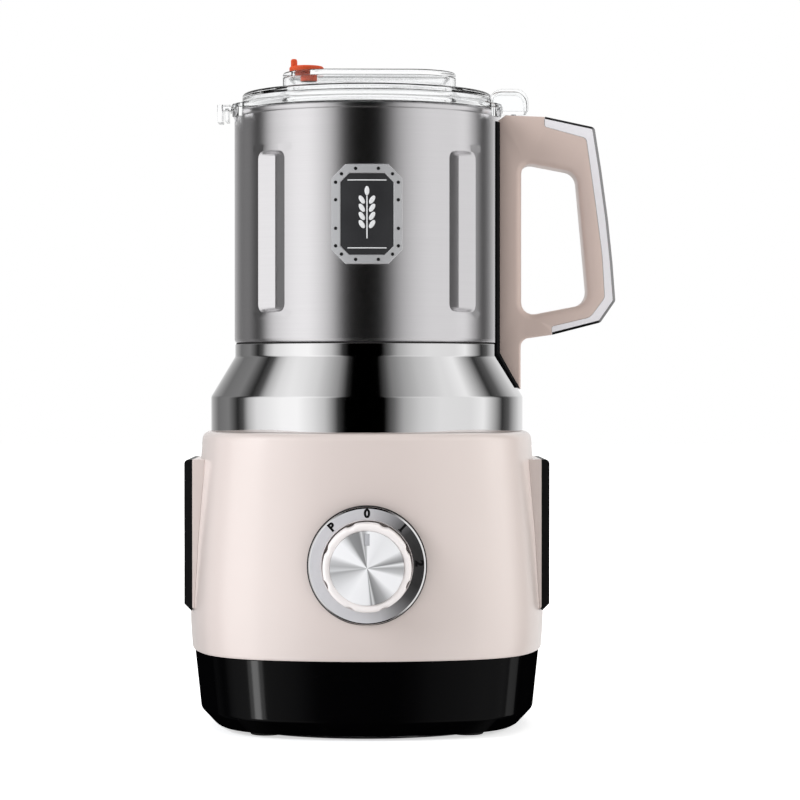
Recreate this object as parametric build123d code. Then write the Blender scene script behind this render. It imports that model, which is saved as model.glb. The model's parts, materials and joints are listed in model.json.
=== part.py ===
from build123d import *
from math import cos, pi, radians, sin, sqrt
import os

# Electric grain mill, in millimetres. It stands on z = 0, the drive axis is Z,
# the dial looks along -Y and the cup's handle points along +X.

# Base: a bowed rounded square in plan
side_bow = 1.638  # radius of a side arc, as a share of the half-width
corner_round = 0.565  # radius of a corner arc, as a share of the half-width
foot_drop = 2.0
wall = 3.0
skirt_sections = [(78.0, foot_drop), (85.0, 9.5), (88.2, 39.7)]
housing_sections = [(88.5, 39.7), (89.4, 42.0), (90.7, 57.0), (88.2, 100.0), (84.3, 147.0), (81.4, 150.0)]
deck_z = housing_sections[-1][1]
plate_low = 5.0
plate_high = 8.0
plate_half = 76.6
foot_place = 50.0
foot_radius = 8.0
screw_ring = 64.0
screw_angles = [20, 110, 200, 290]
gland_z = 24.0
gland_neck = 7.0
gland_bore = 3.6
gland_front = 80.0
gland_back = 89.2

# Side vents
vent_half = 32.0
vent_low = 56.5
vent_high = 136.0
vent_face = 88.0
grille_depth = 4.0
window_half = 25.0
window_low = 66.0
window_high = 127.0
louvre_count = 9

# Dial
dial_z = 86.3
bezel_radius = 28.5
bezel_inner = 21.9
bezel_front = 92.6
pocket_depth = 86.0
knob_radius = 21.3
knob_back = 90.0
knob_front = 109.0
scallop_count = 8
scallop_radius = 3.0
scallop_depth = 1.2
cap_radius = 17.8
notch_length = 5.5
dial_shaft_radius = 3.0
bush_radius = 5.0
switch_half = 16.0

# Motor
shaft_radius = 4.0
running_gap = 0.06
core_low = 62.0
core_high = 104.0
core_half = 37.0
rotor_radius = 22.9
stator_bore = 23.5
bolt_place = 31.0
fan_radius = 34.0
duct_radius = 38.5
coupling_teeth = 6
coupling_radius = 13.5
tooth_depth = 3.5
bearing_radius = 11.0
bearing_high = 7.0
bolt_hole = 2.2
board_y = 58.0
board_thick = 1.6

# Seat on the deck
seat_bore = 34.0
seat_radius = 56.0
seat_high = 158.0
key_count = 4

# Cup
cup_radius = 68.0
cup_wall = 1.2
collar_thick = 1.5
cup_low = 194.7
cup_high = 313.0
rim_radius = 68.7
floor_z = 199.0
floor_thick = 1.6
flute_angles = [-137, -43, 43, 137]
flute_low = 209.7
flute_high = 290.2
flute_depth = 3.2
flute_half = 10.5
collar_radius = 80.0
collar_band = 167.5
collar_neck = 188.0
neck_radius = 67.7
floor_bore = 14.0
plaque_z = 257.5
plaque_width = 35.0
plaque_height = 49.0
plaque_corner = 7.0
plaque_border = 4.2

# Handle, as an outline in X and Z
handle_half = 12.0
leg_radius = 69.0
leg_outer = 78.7
trim_width = 4.8
trim_top_x = 90.8
trim_foot_x = 94.7
bracket_half = 20.0
screw_seat = 76.7
screw_tip = 68.2
rod_x = 75.5
rod_radius = 1.2

# Lid
flange_radius = 70.0
flange_low = 313.2
flange_high = 316.3
step_radius = 64.0
step_high = 322.5
plateau_half = 43.9
plateau_corner = 24.0
plateau_shift = 1.2
lid_high = 331.5
lid_wall = 2.6
hood_half = 11.0
hood_reach = 82.5
hood_high = 324.8
lug_half = 8.0
lug_reach = 76.6
lug_low = 307.8
lug_high = 317.0
hook_angles = [-24, 90, 204]
plug_place = (-29.4, -22.0)
plug_radius = 4.4
plug_top = 338.4


def ring(outer, inner, low, high):
    return Pos(0, 0, low) * extrude(Circle(outer) - Circle(inner), high - low)


def disc(radius, low, high, x=0.0, y=0.0):
    return Pos(x, y, low) * extrude(Circle(radius), high - low)


def block(x_range, y_range, z_range):
    sizes = [high - low for low, high in (x_range, y_range, z_range)]
    centre = [(low + high) / 2 for low, high in (x_range, y_range, z_range)]
    return Pos(*centre) * Box(*sizes)


def turned(*points):
    """Solid of revolution about the drive axis, from (radius, height) points."""
    return revolve(Plane.XZ * make_face(Polyline(*points, close=True)), Axis.Z)


def spun(shape, count, start=0.0):
    """Copies of a shape, evenly spaced about the drive axis."""
    return [Rot(0, 0, start + 360 / count * i) * shape for i in range(count)]


def joined(shapes):
    first, *others = shapes
    for other in others:
        first = first + other
    return first


def cut(shape, tools):
    for tool in tools:
        shape = shape - tool
    return shape


def loose(shapes):
    """Separate solids kept in one node."""
    return Compound(children=[solid for shape in shapes for solid in shape.solids()])


def mirrored(shape):
    return mirror(shape, Plane.YZ)


def plan(half, z):
    """Face of the base's plan shape: four bowed sides and four round corners."""
    side = side_bow * half
    corner = corner_round * half
    reach = side - corner
    back = side - half
    centre = (sqrt(2 * reach**2 - back**2) - back) / 2
    meet_x = side * centre / reach
    meet_y = side * (centre + back) / reach - back
    tip = centre + corner / sqrt(2)
    quarter = [(-meet_x, meet_y), (0, half), (meet_x, meet_y), (tip, tip)]
    points = []
    for turn in (0, -90, -180, -270):
        c, s = cos(radians(turn)), sin(radians(turn))
        points += [(x * c - y * s, x * s + y * c) for x, y in quarter]
    points.append(points[0])
    arcs = [ThreePointArc(*points[i : i + 3]) for i in range(0, 16, 2)]
    return Pos(0, 0, z) * make_face(arcs)


def stack(sections):
    return loft([plan(half, z) for half, z in sections], ruled=True)


def shrunk(sections, amount):
    return [(half - amount, z) for half, z in sections]


dial_plane = Plane(origin=(0, 0, dial_z), x_dir=(1, 0, 0), z_dir=(0, -1, 0))


def on_dial(shape):
    """Places a shape built along +Z onto the dial's axis, height measured from the drive axis."""
    return dial_plane * shape


# ---- Base ----


def skirt_shell():
    outer = stack(skirt_sections)
    (low_half, low_z), (crease_half, crease_z), (top_half, top_z) = skirt_sections
    inner = stack(
        [
            (low_half - wall, low_z - 1.0),
            (crease_half - wall, crease_z),
            (top_half - wall, top_z + 1.0),
        ]
    )
    return outer - inner


def base_skirt():
    skirt = skirt_shell()
    boss = disc(5.0, plate_high, 36.0, screw_ring, 0)
    web = block((screw_ring + 3, 84.5), (-1.5, 1.5), (12.0, 36.0))
    hole = disc(2.0, plate_high - 1, 27.0, screw_ring, 0)
    post = boss + web - hole
    skirt = joined([skirt] + [Rot(0, 0, angle) * post for angle in screw_angles])
    return skirt - cord_hole()


def cord_hole():
    return Pos(0, 86.0, gland_z) * Rot(90, 0, 0) * Cylinder(gland_neck, 20.0)


def bottom_plate():
    plate = Pos(0, 0, plate_low) * extrude(plan(plate_half, 0), plate_high - plate_low)
    slots = spun(block((15.0, 33.0), (-1.4, 1.4), (0, 20)), 18)
    intake = [block((-12 + 8 * i, -9 + 8 * i), (48.0, 66.0), (0, 20)) for i in range(4)]
    intake += [Rot(0, 0, 180) * slot for slot in intake]
    holes = [Rot(0, 0, angle) * Pos(screw_ring, 0, 6) * Cylinder(2.2, 10) for angle in screw_angles]
    heads = [Rot(0, 0, angle) * Pos(screw_ring, 0, plate_low) * Cylinder(4.2, 3.2) for angle in screw_angles]
    pegs = [disc(3.0, 0, 20, x, y) for x, y in foot_places()]
    duct = ring(duct_radius, duct_radius - 2.0, plate_high, 40.0) + ring(44.0, duct_radius - 2.0, 38.0, 40.0)
    return cut(plate, slots + intake + holes + heads + pegs) + duct


def foot_places():
    return [(x * foot_place, y * foot_place) for x in (-1, 1) for y in (-1, 1)]


def rubber_feet():
    pads = []
    for x, y in foot_places():
        pad = fillet(disc(foot_radius, 0, plate_low, x, y).edges().group_by(Axis.Z)[0], 0.8)
        stem = disc(3.0, plate_low, plate_high, x, y)
        cap = disc(4.5, plate_high, plate_high + 2, x, y)
        pads.append(pad + stem + cap)
    return loose(pads)


def base_screws():
    head = disc(4.0, plate_low - 1.4, plate_low + 1.6)
    shank = disc(2.0, plate_low + 1.6, 26.0)
    slot = Pos(0, 0, plate_low - 1.4) * (Box(4.4, 1.0, 1.6) + Box(1.0, 4.4, 1.6))
    screw = head + shank - slot
    return loose([Rot(0, 0, angle) * Pos(screw_ring, 0, 0) * screw for angle in screw_angles])


def cord_gland():
    """Sleeve with a flange on each side of the skirt's rear wall, for the supply cord."""
    sleeve = disc(gland_neck, gland_front, gland_back)
    outer_flange = disc(9.5, 85.5, gland_back)
    inner_ring = disc(9.0, gland_front, 84.0)
    bore = disc(gland_bore, 70.0, 95.0)
    gland = sleeve + outer_flange + inner_ring - bore
    gland = Plane(origin=(0, 0, gland_z), x_dir=(-1, 0, 0), z_dir=(0, 1, 0)) * gland
    return gland - (skirt_shell() - cord_hole())


def base_housing():
    outer = stack(housing_sections)
    inner = stack(
        [
            (85.4, 38.0),
            (87.4, 57.0),
            (85.0, 100.0),
            (81.0, 145.0),
            (79.0, deck_z - wall),
        ]
    )
    shell = outer - inner
    pad = on_dial(disc(bezel_radius + 2.5, 81.0, 88.0))
    shell = shell + pad
    pocket = on_dial(disc(bezel_radius + 0.2, pocket_depth, 100.0))
    bush_hole = on_dial(disc(bush_radius + 0.2, 70.0, 100.0))
    windows = block((-100, 100), (-window_half, window_half), (window_low, window_high))
    boss = disc(7.0, 143.0, 148.0, bolt_place, bolt_place) - disc(2.0, 140.0, 148.0, bolt_place, bolt_place)
    shell = joined([shell] + spun(boss, 4))
    limit = stack(shrunk(housing_sections, 1.0))
    for x in (-26, 26):
        for z in (75, 115):
            shell = shell + (block((x - 3, x + 3), (board_y + board_thick, 90.0), (z - 3, z + 3)) & limit)
    opening = disc(40.0, 140.0, 160.0)
    gasket_groove = ring(70.0, 64.0, deck_z - 1.5, deck_z + 1)
    plunger_hole = disc(2.2, 140.0, 160.0, rod_x, 0)
    return cut(shell, [pocket, bush_hole, windows, opening, gasket_groove, plunger_hole])


def side_frame():
    """Wedge that carries the grille; it grows out of the tapering side."""
    body = block((78.0, vent_face), (-vent_half, vent_half), (vent_low, vent_high))
    body = chamfer(body.edges().filter_by(Axis.Y).group_by(Axis.X)[-1].group_by(Axis.Z)[0], 5.0)
    body = body - stack(housing_sections)
    inside = block((70.0, 100.0), (-window_half, window_half), (window_low, window_high))
    return body - inside


def side_grille():
    """Black louvred plate on the frame."""
    outside = vent_face + grille_depth
    plate = block((vent_face, outside), (-vent_half, vent_half), (vent_low + 3.5, vent_high))
    plate = chamfer(plate.edges().filter_by(Axis.Y).group_by(Axis.X)[-1].group_by(Axis.Z)[0], 3.4)
    plate = fillet(plate.edges().filter_by(Axis.Y).group_by(Axis.X)[-1].group_by(Axis.Z)[-1], 2.2)
    pitch = (window_high - window_low) / louvre_count
    slits = []
    for i in range(louvre_count):
        z = window_low + pitch * (i + 0.5)
        slits.append(block((vent_face - 1, outside + 1), (-window_half, window_half), (z - 1.6, z + 1.6)))
    return cut(plate, slits) - stack(housing_sections)


# ---- Dial ----


def dial_bezel():
    face = ring(bezel_radius, bezel_inner, pocket_depth, bezel_front)
    outer_edge = face.edges().filter_by(GeomType.CIRCLE).group_by(Axis.Z)[-1].sort_by(SortBy.RADIUS)[-1]
    return on_dial(chamfer(outer_edge, 1.2))


def rotary_switch():
    body = block((-switch_half, switch_half), (-switch_half, switch_half), (56.0, 79.0))
    neck = disc(2 * bush_radius, 79.0, 81.0)
    bush = disc(bush_radius, 81.0, 88.6)
    bore = disc(dial_shaft_radius + running_gap, 57.0, 90.0)
    places = [(x, y) for x in (-10, 0, 10) for y in (-9, 9)]
    tags = [block((x - 1.5, x + 1.5), (y - 0.4, y + 0.4), (50.0, 56.0)) for x, y in places]
    return on_dial(joined([body, neck, bush] + tags) - bore)


def switch_nut():
    nut = Pos(0, 0, pocket_depth) * extrude(RegularPolygon(8.0, 6), 2.4)
    return on_dial(nut - disc(bush_radius, 80.0, 90.0))


def switch_shaft():
    return on_dial(disc(dial_shaft_radius, 58.0, 104.0))


def dial_knob():
    body = disc(knob_radius, knob_back, knob_front)
    body = chamfer(body.edges().group_by(Axis.Z)[-1], 1.4)
    scallop_out = knob_radius + scallop_radius - scallop_depth
    scallop = disc(scallop_radius, knob_back - 1, knob_front + 1, scallop_out, 0)
    body = cut(body, spun(scallop, scallop_count, 360 / scallop_count / 2))
    hollow = disc(16.0, knob_back - 1, 101.0)
    recess = disc(cap_radius, knob_front - 2.0, knob_front + 1)
    hub = disc(6.0, knob_back + 0.5, 102.0)
    bore = disc(dial_shaft_radius, knob_back - 1, 104.0)
    return on_dial(body - hollow - recess + hub - bore)


def dial_cap():
    cap = disc(cap_radius, knob_front - 2.0, knob_front + 0.6)
    notch_top = cap_radius - 1.5
    notch = block((-1.1, 1.1), (notch_top - notch_length, notch_top), (knob_front, knob_front + 1))
    return on_dial(cap - notch)


# ---- Motor ----


def stator_core():
    stack_height = core_high - core_low
    outline = RectangleRounded(2 * core_half, 2 * core_half, 12) - Circle(stator_bore)
    core = Pos(0, 0, core_low) * extrude(outline, stack_height)
    slots = []
    for x in (-1, 1):
        for y in (-1, 1):
            slots.append(block(sorted((x * 18.5, x * 25.4)), sorted((y * 21.9, y * 31.0)), (50, 120)))
    bolts = [disc(bolt_hole, 50, 120, x, y) for x, y in bolt_places()]
    return cut(core, slots + bolts)


def bolt_places():
    return [(x * bolt_place, y * bolt_place) for x in (-1, 1) for y in (-1, 1)]


def field_coils():
    """One flat loop of wire through the slots on each side of the rotor."""
    outer = RectangleRounded(50, 58, 5)
    inner = RectangleRounded(38, core_high - core_low + 1.6, 1.5)
    coil = extrude(outer - inner, 8.5)
    middle = (core_low + core_high) / 2
    front = Plane(origin=(0, -22.2, middle), x_dir=(1, 0, 0), z_dir=(0, -1, 0)) * coil
    return loose([front, mirror(front, Plane.XZ)])


def rotor_core():
    core = ring(rotor_radius, shaft_radius, core_low, core_high)
    slot = block((16.5, 24.0), (-1.1, 1.1), (core_low - 1, core_high + 1))
    return cut(core, spun(slot, 12))


def armature_windings():
    top = ring(20.5, 7.0, core_high, core_high + 9)
    bottom = ring(20.5, 7.0, core_low - 9, core_low)
    top = chamfer(top.edges().group_by(Axis.Z)[-1], 2.5)
    bottom = chamfer(bottom.edges().group_by(Axis.Z)[0], 2.5)
    return loose([top, bottom])


def commutator():
    drum = ring(13.0, shaft_radius, 116.0, 130.0)
    gap = block((11.8, 14.0), (-0.3, 0.3), (117.5, 131.0))
    return cut(drum, spun(gap, 24))


def motor_shaft():
    return disc(shaft_radius, 18.0, 155.0)


def cooling_fan():
    hub = ring(9.0, shaft_radius, 22.0, 34.0)
    disc_plate = ring(fan_radius, 8.0, 32.0, 34.0)
    blade = Pos(21.0, 0, 27.5) * Rot(0, 0, 18) * Box(24.0, 1.6, 10.0)
    return joined([hub, disc_plate] + spun(blade, 9))


def bracket(low, hub_low, hub_high, post_range):
    """Aluminium end bracket: a pierced plate, a bearing hub and four posts to the core."""
    plate = Pos(0, 0, low) * extrude(RectangleRounded(76, 76, 12), 4.0)
    hub = disc(14.0, hub_low, hub_high)
    window = block((17, 31), (-16, 16), (low - 1, low + 5))
    posts = [disc(3.8, *post_range, x, y) for x, y in bolt_places()]
    holes = [disc(bolt_hole, 20.0, 170.0, x, y) for x, y in bolt_places()]
    body = cut(plate, spun(window, 4))
    return cut(joined([body, hub] + posts), holes)


def lower_bracket():
    body = bracket(46.0, 41.0, 50.0, (46.0, core_low))
    return body - disc(bearing_radius, 42.5, 60.0) - disc(6.0, 30.0, 60.0)


def upper_bracket():
    body = bracket(134.0, 132.5, 141.0, (core_high, 136.0))
    tabs = [block(sorted((x * 30, x * 34)), (-5, 5), (127.5, 135.0)) for x in (-1, 1)]
    return joined([body] + tabs) - disc(bearing_radius, 120.0, 139.5) - disc(6.0, 120.0, 150.0)


def bearing(low):
    return ring(bearing_radius, shaft_radius + running_gap, low, low + bearing_high)


def motor_bearings():
    return loose([bearing(43.0), bearing(132.5)])


def brush_holders():
    sleeve = block((15.5, 36.0), (-4.5, 4.5), (118.5, 127.5))
    sleeve = sleeve - block((10.0, 34.5), (-3.2, 3.2), (120.0, 126.0))
    return loose([sleeve, mirrored(sleeve)])


def carbon_brushes():
    brush = block((13.4, 26.0), (-3.2, 3.2), (120.0, 126.0))
    return loose([brush, mirrored(brush)])


def motor_screws():
    screws = []
    for x, y in bolt_places():
        head = disc(4.0, 42.5, 46.0, x, y)
        shank = disc(2.0, 46.0, 147.0, x, y)
        screws.append(head + shank)
    return loose(screws)


def motor_mounts():
    bush = disc(7.0, 138.0, 143.0) - disc(bolt_hole, 138.0, 143.0)
    return loose([Pos(x, y, 0) * bush for x, y in bolt_places()])


def gear_star(radius, depth):
    """Star outline shared by the two halves of the coupling."""
    points = []
    for i in range(2 * coupling_teeth):
        angle = pi * i / coupling_teeth
        reach = radius if i % 2 == 0 else radius - depth
        points.append((reach * cos(angle), reach * sin(angle)))
    return make_face(Polyline(*points, close=True))


def drive_coupling():
    """Driving half on the motor shaft."""
    star = Pos(0, 0, 149.0) * extrude(gear_star(coupling_radius, tooth_depth), 8.0)
    hub = disc(9.0, 143.0, 149.0)
    return star + hub - disc(shaft_radius, 140.0, 155.0)


def control_board():
    return block((-30, 30), (board_y, board_y + board_thick), (70.0, 120.0))


def board_parts():
    relay = block((-26, -8), (46.0, 58.0), (74, 92))
    capacitor = Pos(8, 0, 84) * Rot(90, 0, 0) * Cylinder(7.0, 14.0)
    capacitor = Pos(0, 51.0, 0) * capacitor
    choke = Pos(18, 0, 104) * Rot(90, 0, 0) * (Cylinder(9.0, 8.0) - Cylinder(4.0, 9.0))
    choke = Pos(0, 54.0, 0) * choke
    terminal = block((-26, -4), (50.0, 58.0), (100, 112))
    return loose([relay, capacitor, choke, terminal])


def safety_switch():
    """Microswitch under the deck that the plunger works."""
    body = block((rod_x - 13.0, rod_x + 4.0), (-5.0, 5.0), (122.0, 138.0))
    bore = disc(2.0, 132.0, 140.0, rod_x, 0)
    posts = [disc(2.0, 138.0, deck_z - wall, rod_x - 9.0, y) for y in (-3.0, 3.0)]
    return joined([body - bore] + posts)


def safety_plunger():
    return disc(1.8, 133.0, deck_z, rod_x, 0)


# ---- Seat ----


def cup_seat():
    ledge = ring(seat_radius, seat_bore, deck_z, seat_high)
    spigot = ring(39.8, seat_bore, deck_z - wall, deck_z)
    key = block((seat_radius - 2.0, seat_radius + 7.0), (-4.0, 4.0), (deck_z, seat_high - 1.0))
    return joined([ledge, spigot] + spun(key, key_count, 45))


def seat_gasket():
    return ring(70.0, 64.0, deck_z - 1.5, deck_z + 0.8)


# ---- Cup ----


def flute(extra):
    """Roof-shaped solid that dents the wall; extra moves it outward."""
    apex = cup_radius - flute_depth
    outer = cup_radius + 3.0
    spread = flute_half * (outer - apex) / (sqrt(cup_radius**2 - flute_half**2) - apex)
    slant = 4.0 * (outer - apex) / flute_depth
    points = [(apex + extra, 0, flute_low + 4.0), (apex + extra, 0, flute_high - 4.0)]
    for y in (-spread, spread):
        points.append((outer + extra, y, flute_low + 4.0 - slant * 0.9))
        points.append((outer + extra, y, flute_high - 4.0 + slant * 0.9))
    return ConvexPolyhedron(points)


def cup_body():
    inside = cup_radius - cup_wall
    outer = disc(cup_radius, cup_low, cup_high)
    rim = turned(
        (cup_radius - 0.5, cup_high - 3.4),
        (rim_radius, cup_high - 2.2),
        (rim_radius, cup_high - 0.6),
        (rim_radius - 0.6, cup_high),
        (cup_radius - 0.5, cup_high),
    )
    void = disc(inside, floor_z + floor_thick, cup_high + 1)
    under = disc(inside, cup_low - 1, floor_z)
    for angle in flute_angles:
        outer = outer - Rot(0, 0, angle) * flute(0.0)
        void = void - Rot(0, 0, angle) * flute(-cup_wall)
    neck_hole = disc(floor_bore, floor_z - 1, floor_z + 5)
    return outer + rim - void - under - neck_hole


def cup_collar():
    """Flared chrome skirt under the cup."""
    shell = turned(
        (collar_radius - collar_thick, deck_z),
        (collar_radius, deck_z),
        (collar_radius, collar_band),
        (neck_radius, collar_neck),
        (neck_radius, cup_low - 0.5),
        (neck_radius - collar_thick, cup_low - 0.5),
        (neck_radius - collar_thick, collar_neck - 0.4),
        (collar_radius - collar_thick, collar_band - 0.6),
    )
    return shell - disc(rod_radius + 0.5, deck_z + 1, 190.0, rod_x, 0)


def seam_ring():
    """Dark ring in the seam between the collar and the cup."""
    return ring(neck_radius - 0.4, neck_radius - collar_thick, cup_low - 0.5, cup_low)


def cup_holder():
    """Moulded carrier inside the collar, with notches for the seat's keys."""
    body = turned(
        (65.8, 198.9),
        (65.8, 187.2),
        (72.0, 176.0),
        (72.0, 151.0),
        (60.6, 151.0),
        (60.6, 159.5),
        (68.4, 159.5),
        (68.4, 175.0),
        (62.3, 186.2),
        (62.3, 194.8),
        (26.4, 194.8),
        (26.4, 198.9),
    )
    notch = block((59.0, seat_radius + 7.6), (-4.7, 4.7), (150.0, seat_high))
    return cut(body, spun(notch, key_count, 45))


def bearing_housing():
    return turned(
        (bearing_radius, 166.0),
        (16.0, 166.0),
        (16.0, 191.0),
        (26.0, 191.0),
        (26.0, 198.9),
        (13.9, 198.9),
        (13.9, 205.0),
        (8.2, 205.0),
        (8.2, 199.0),
        (bearing_radius, 199.0),
    )


def blade_bearings():
    return loose([bearing(168.0), bearing(190.0)])


def shaft_seal():
    return ring(8.2, shaft_radius + 0.4, 199.0, 203.6)


def blade_shaft():
    return disc(shaft_radius, 158.4, 231.0)


def driven_coupling():
    """Driven half under the cup, open downwards over the driving half."""
    body = disc(18.5, 151.0, 165.0)
    cavity = Pos(0, 0, 150.0) * extrude(gear_star(coupling_radius + 0.5, tooth_depth), 8.0)
    return body - cavity - disc(shaft_radius, 158.4, 170.0) - disc(shaft_radius - 1, 150.0, 160.0)


def blade(length, tip_length, lift, z):
    """Two-armed cutter: a flat bar with tips bent by the angle `lift`."""
    root = 10.0
    thick = 2.0
    arm = make_face(Polyline((0, -root), (length, -6.5), (length, 4.0), (0, root), close=True))
    arm = extrude(arm, thick)
    tip = make_face(Polyline((0, -6.5), (tip_length, -1.0), (tip_length, 2.5), (0, 4.0), close=True))
    tip = Pos(length - 0.3, 0, 0) * Rot(0, -lift, 0) * extrude(tip, thick)
    half = arm + tip
    bar = half + Rot(0, 0, 180) * half
    return Pos(0, 0, z) * (bar - disc(shaft_radius, -5, 10))


def lower_blade():
    return blade(42.0, 15.0, -12.0, 210.0)


def upper_blade():
    return Rot(0, 0, 90) * blade(30.0, 18.0, 32.0, 220.0)


def blade_spacers():
    return loose([ring(7.0, shaft_radius, 206.0, 210.0), ring(7.5, shaft_radius, 212.0, 220.0)])


def blade_washer():
    return ring(9.0, shaft_radius, 222.0, 223.4)


def blade_nut():
    nut = Pos(0, 0, 223.4) * extrude(RegularPolygon(7.5, 6), 6.0)
    dome = disc(6.0, 229.4, 233.0)
    dome = chamfer(dome.edges().group_by(Axis.Z)[-1], 2.0)
    return nut + dome - disc(shaft_radius, 220.0, 231.0)


def plaque_outline(inset):
    """Upright plate with cut corners, seen along +Y."""
    face = Rectangle(plaque_width - 2 * inset, plaque_height - 2 * inset)
    face = chamfer(face.vertices(), plaque_corner - inset * 0.6)
    return Plane(origin=(0, 0, plaque_z), x_dir=(1, 0, 0), z_dir=(0, -1, 0)) * face


def plaque():
    """Plain plate on the front of the cup, curved like its wall."""
    plate = ring(cup_radius + 1.2, cup_radius, 220.0, 300.0) & extrude(plaque_outline(0), 90)
    panel = extrude(plaque_outline(plaque_border), 90)
    return plate - (ring(cup_radius + 3.0, cup_radius + 0.7, 220.0, 300.0) & panel)


# ---- Handle ----


def handle_face():
    edge = Polyline(
        (127.1, 216.5),
        (119.4, 205.4),
        (94.5, 199.0),
        (leg_outer, 195.4),
        (leg_outer, 167.9),
        (62.0, 197.0),
        (62.0, 301.0),
        (71.7, 311.4),
        (91.0, 310.6),
        (116.4, 305.2),
    )
    back = ThreePointArc((116.4, 305.2), (123.2, 258.0), (127.1, 216.5))
    face = make_face([*edge.edges(), back])
    outer_corners = face.vertices().filter_by_position(Axis.X, 115.0, 130.0)
    face = fillet(outer_corners, 2.4)
    crook = face.vertices().sort_by_distance((leg_outer, 195.4, 0))[0]
    return fillet(crook, 4.0)


def handle_hole():
    face = make_face(
        Polyline(
            (79.0, 216.0),
            (82.0, 209.0),
            (106.0, 213.6),
            (112.9, 220.0),
            (107.4, 277.4),
            (101.5, 282.9),
            (83.0, 286.6),
            (79.0, 283.6),
            close=True,
        )
    )
    return fillet(face.vertices(), 2.5)


def handle_solid(face, half):
    return extrude(Plane(origin=(0, half, 0), x_dir=(1, 0, 0), z_dir=(0, -1, 0)) * face, 2 * half)


def leg_trimming():
    """Everything that the handle has to stay clear of on the cup and collar."""
    gap = leg_radius - cup_radius
    return turned(
        (0, 150.0),
        (collar_radius + gap, 150.0),
        (collar_radius + gap, collar_band + 0.8),
        (leg_radius, collar_neck + 1.8),
        (leg_radius, 330.0),
        (0, 330.0),
    )


def rod_channel():
    return disc(rod_radius + 0.5, 150.0, 330.0, rod_x, 0)


def trim_band():
    """Region of the outline that the bright strip takes up."""
    shape = handle_solid(handle_face(), handle_half)
    inner = offset(handle_face(), -trim_width)
    shape = shape - handle_solid(inner, handle_half + 1)
    high, low, right = 330.0, 190.0, 140.0
    limits = [(trim_top_x, high), (right, high), (right, low), (trim_foot_x, low), (trim_foot_x, 240.0)]
    keep = make_face(Polyline(*limits, (trim_top_x, 260.0), close=True))
    return shape & handle_solid(keep, handle_half + 1)


def handle_trim():
    return trim_band()


def handle_screw_places():
    return [(y, z) for y in (-6.5, 6.5) for z in (225.0, 278.0)]


def screw_tool(radius, x_low, x_high, y, z):
    return Plane(origin=(0, y, z), x_dir=(0, 1, 0), z_dir=(1, 0, 0)) * disc(radius, x_low, x_high)


def handle_body():
    body = handle_solid(handle_face(), handle_half) - handle_solid(handle_hole(), handle_half + 1)
    body = cut(body, [leg_trimming(), rod_channel(), trim_band()])
    tools = []
    for y, z in handle_screw_places():
        tools.append(screw_tool(1.6, 66.0, 90.0, y, z))
        tools.append(screw_tool(3.0, screw_seat, 90.0, y, z))
    return cut(body, tools)


def handle_screws():
    screws = []
    for y, z in handle_screw_places():
        shank = screw_tool(1.6, screw_tip, screw_seat, y, z)
        screws.append(shank + screw_tool(3.0, screw_seat, screw_seat + 1.8, y, z))
    return loose(screws)


def handle_bracket():
    """Dark strip between the cup and the handle, welded to the cup's wall."""
    strip = ring(leg_radius, cup_radius, cup_low, 307.4)
    strip = strip & block((50.0, 90.0), (-bracket_half, bracket_half), (190.0, 310.0))
    flare = turned(
        (collar_radius - 2.5, 172.0),
        (neck_radius, collar_neck + 0.4),
        (neck_radius, cup_low),
        (leg_radius, cup_low),
        (leg_radius, collar_neck + 1.8),
        (collar_radius - 1.2, 172.0),
    )
    flare = flare & block((50.0, 90.0), (-bracket_half, bracket_half), (170.0, 200.0))
    flare = flare - cone_cut()
    tools = [screw_tool(1.6, screw_tip, 90.0, y, z) for y, z in handle_screw_places()]
    return cut(strip + flare, tools + [rod_channel()])


def cone_cut():
    """The collar's outside."""
    return turned(
        (0, 150.0),
        (collar_radius, 150.0),
        (collar_radius, collar_band),
        (neck_radius, collar_neck),
        (neck_radius, cup_low),
        (0, cup_low),
    )


def interlock_rod():
    """Rod in the handle: the turning lid presses it onto the plunger in the deck."""
    return disc(rod_radius, deck_z + 0.2, 312.6, rod_x, 0)


# ---- Lid ----


def lid_seal():
    return ring(66.3, 63.0, 305.5, 310.5)


def plateau(half, high, edge):
    """Raised middle of the lid: a rounded square with softened top edges."""
    low = step_high - lid_wall - 1
    outline = RectangleRounded(2 * half, 2 * half, plateau_corner)
    body = extrude(Pos(plateau_shift, 0, low) * outline, high - low)
    return chamfer(body.edges().group_by(Axis.Z)[-1], edge)


def lid():
    inside = 61.0
    body = turned(
        (0, step_high),
        (step_radius - 0.8, step_high),
        (step_radius, step_high - 0.8),
        (step_radius, flange_high),
        (flange_radius - 0.5, flange_high),
        (flange_radius, flange_high - 0.5),
        (flange_radius, flange_low),
        (66.0, flange_low),
        (66.0, 311.2),
        (62.7, 311.2),
        (62.7, 304.0),
        (inside - 0.4, 304.0),
        (inside, step_high - lid_wall),
        (0, step_high - lid_wall),
    )
    body = body + plateau(plateau_half, lid_high, 2.4)
    body = body - plateau(plateau_half - lid_wall, lid_high - lid_wall, 1.4)
    hood = block((step_radius - 1.0, hood_reach), (-hood_half, hood_half), (flange_low, hood_high))
    hood = fillet(hood.edges().filter_by(Axis.Y).group_by(Axis.Z)[-1], 7.5)
    hood = hood - block((rod_x - 3.6, rod_x + 3.6), (-4.0, 14.0), (flange_low - 1, 319.6))
    lug = block((-lug_reach, -70.4), (-lug_half, lug_half), (lug_low, lug_high))
    arm = block((-lug_reach, -66.0), (-lug_half, lug_half), (flange_low, lug_high))
    hook = block((70.3, 72.6), (-4.5, 4.5), (308.8, 315.6))
    hook = hook + block((68.0, 72.6), (-4.5, 4.5), (flange_low, 315.6))
    hooks = [Rot(0, 0, angle) * hook for angle in hook_angles]
    body = joined([body, hood - disc(step_radius - 0.2, 300, 330), lug + arm] + hooks)
    return body - disc(plug_radius + 0.4, 326.0, 340.0, *plug_place)


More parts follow.
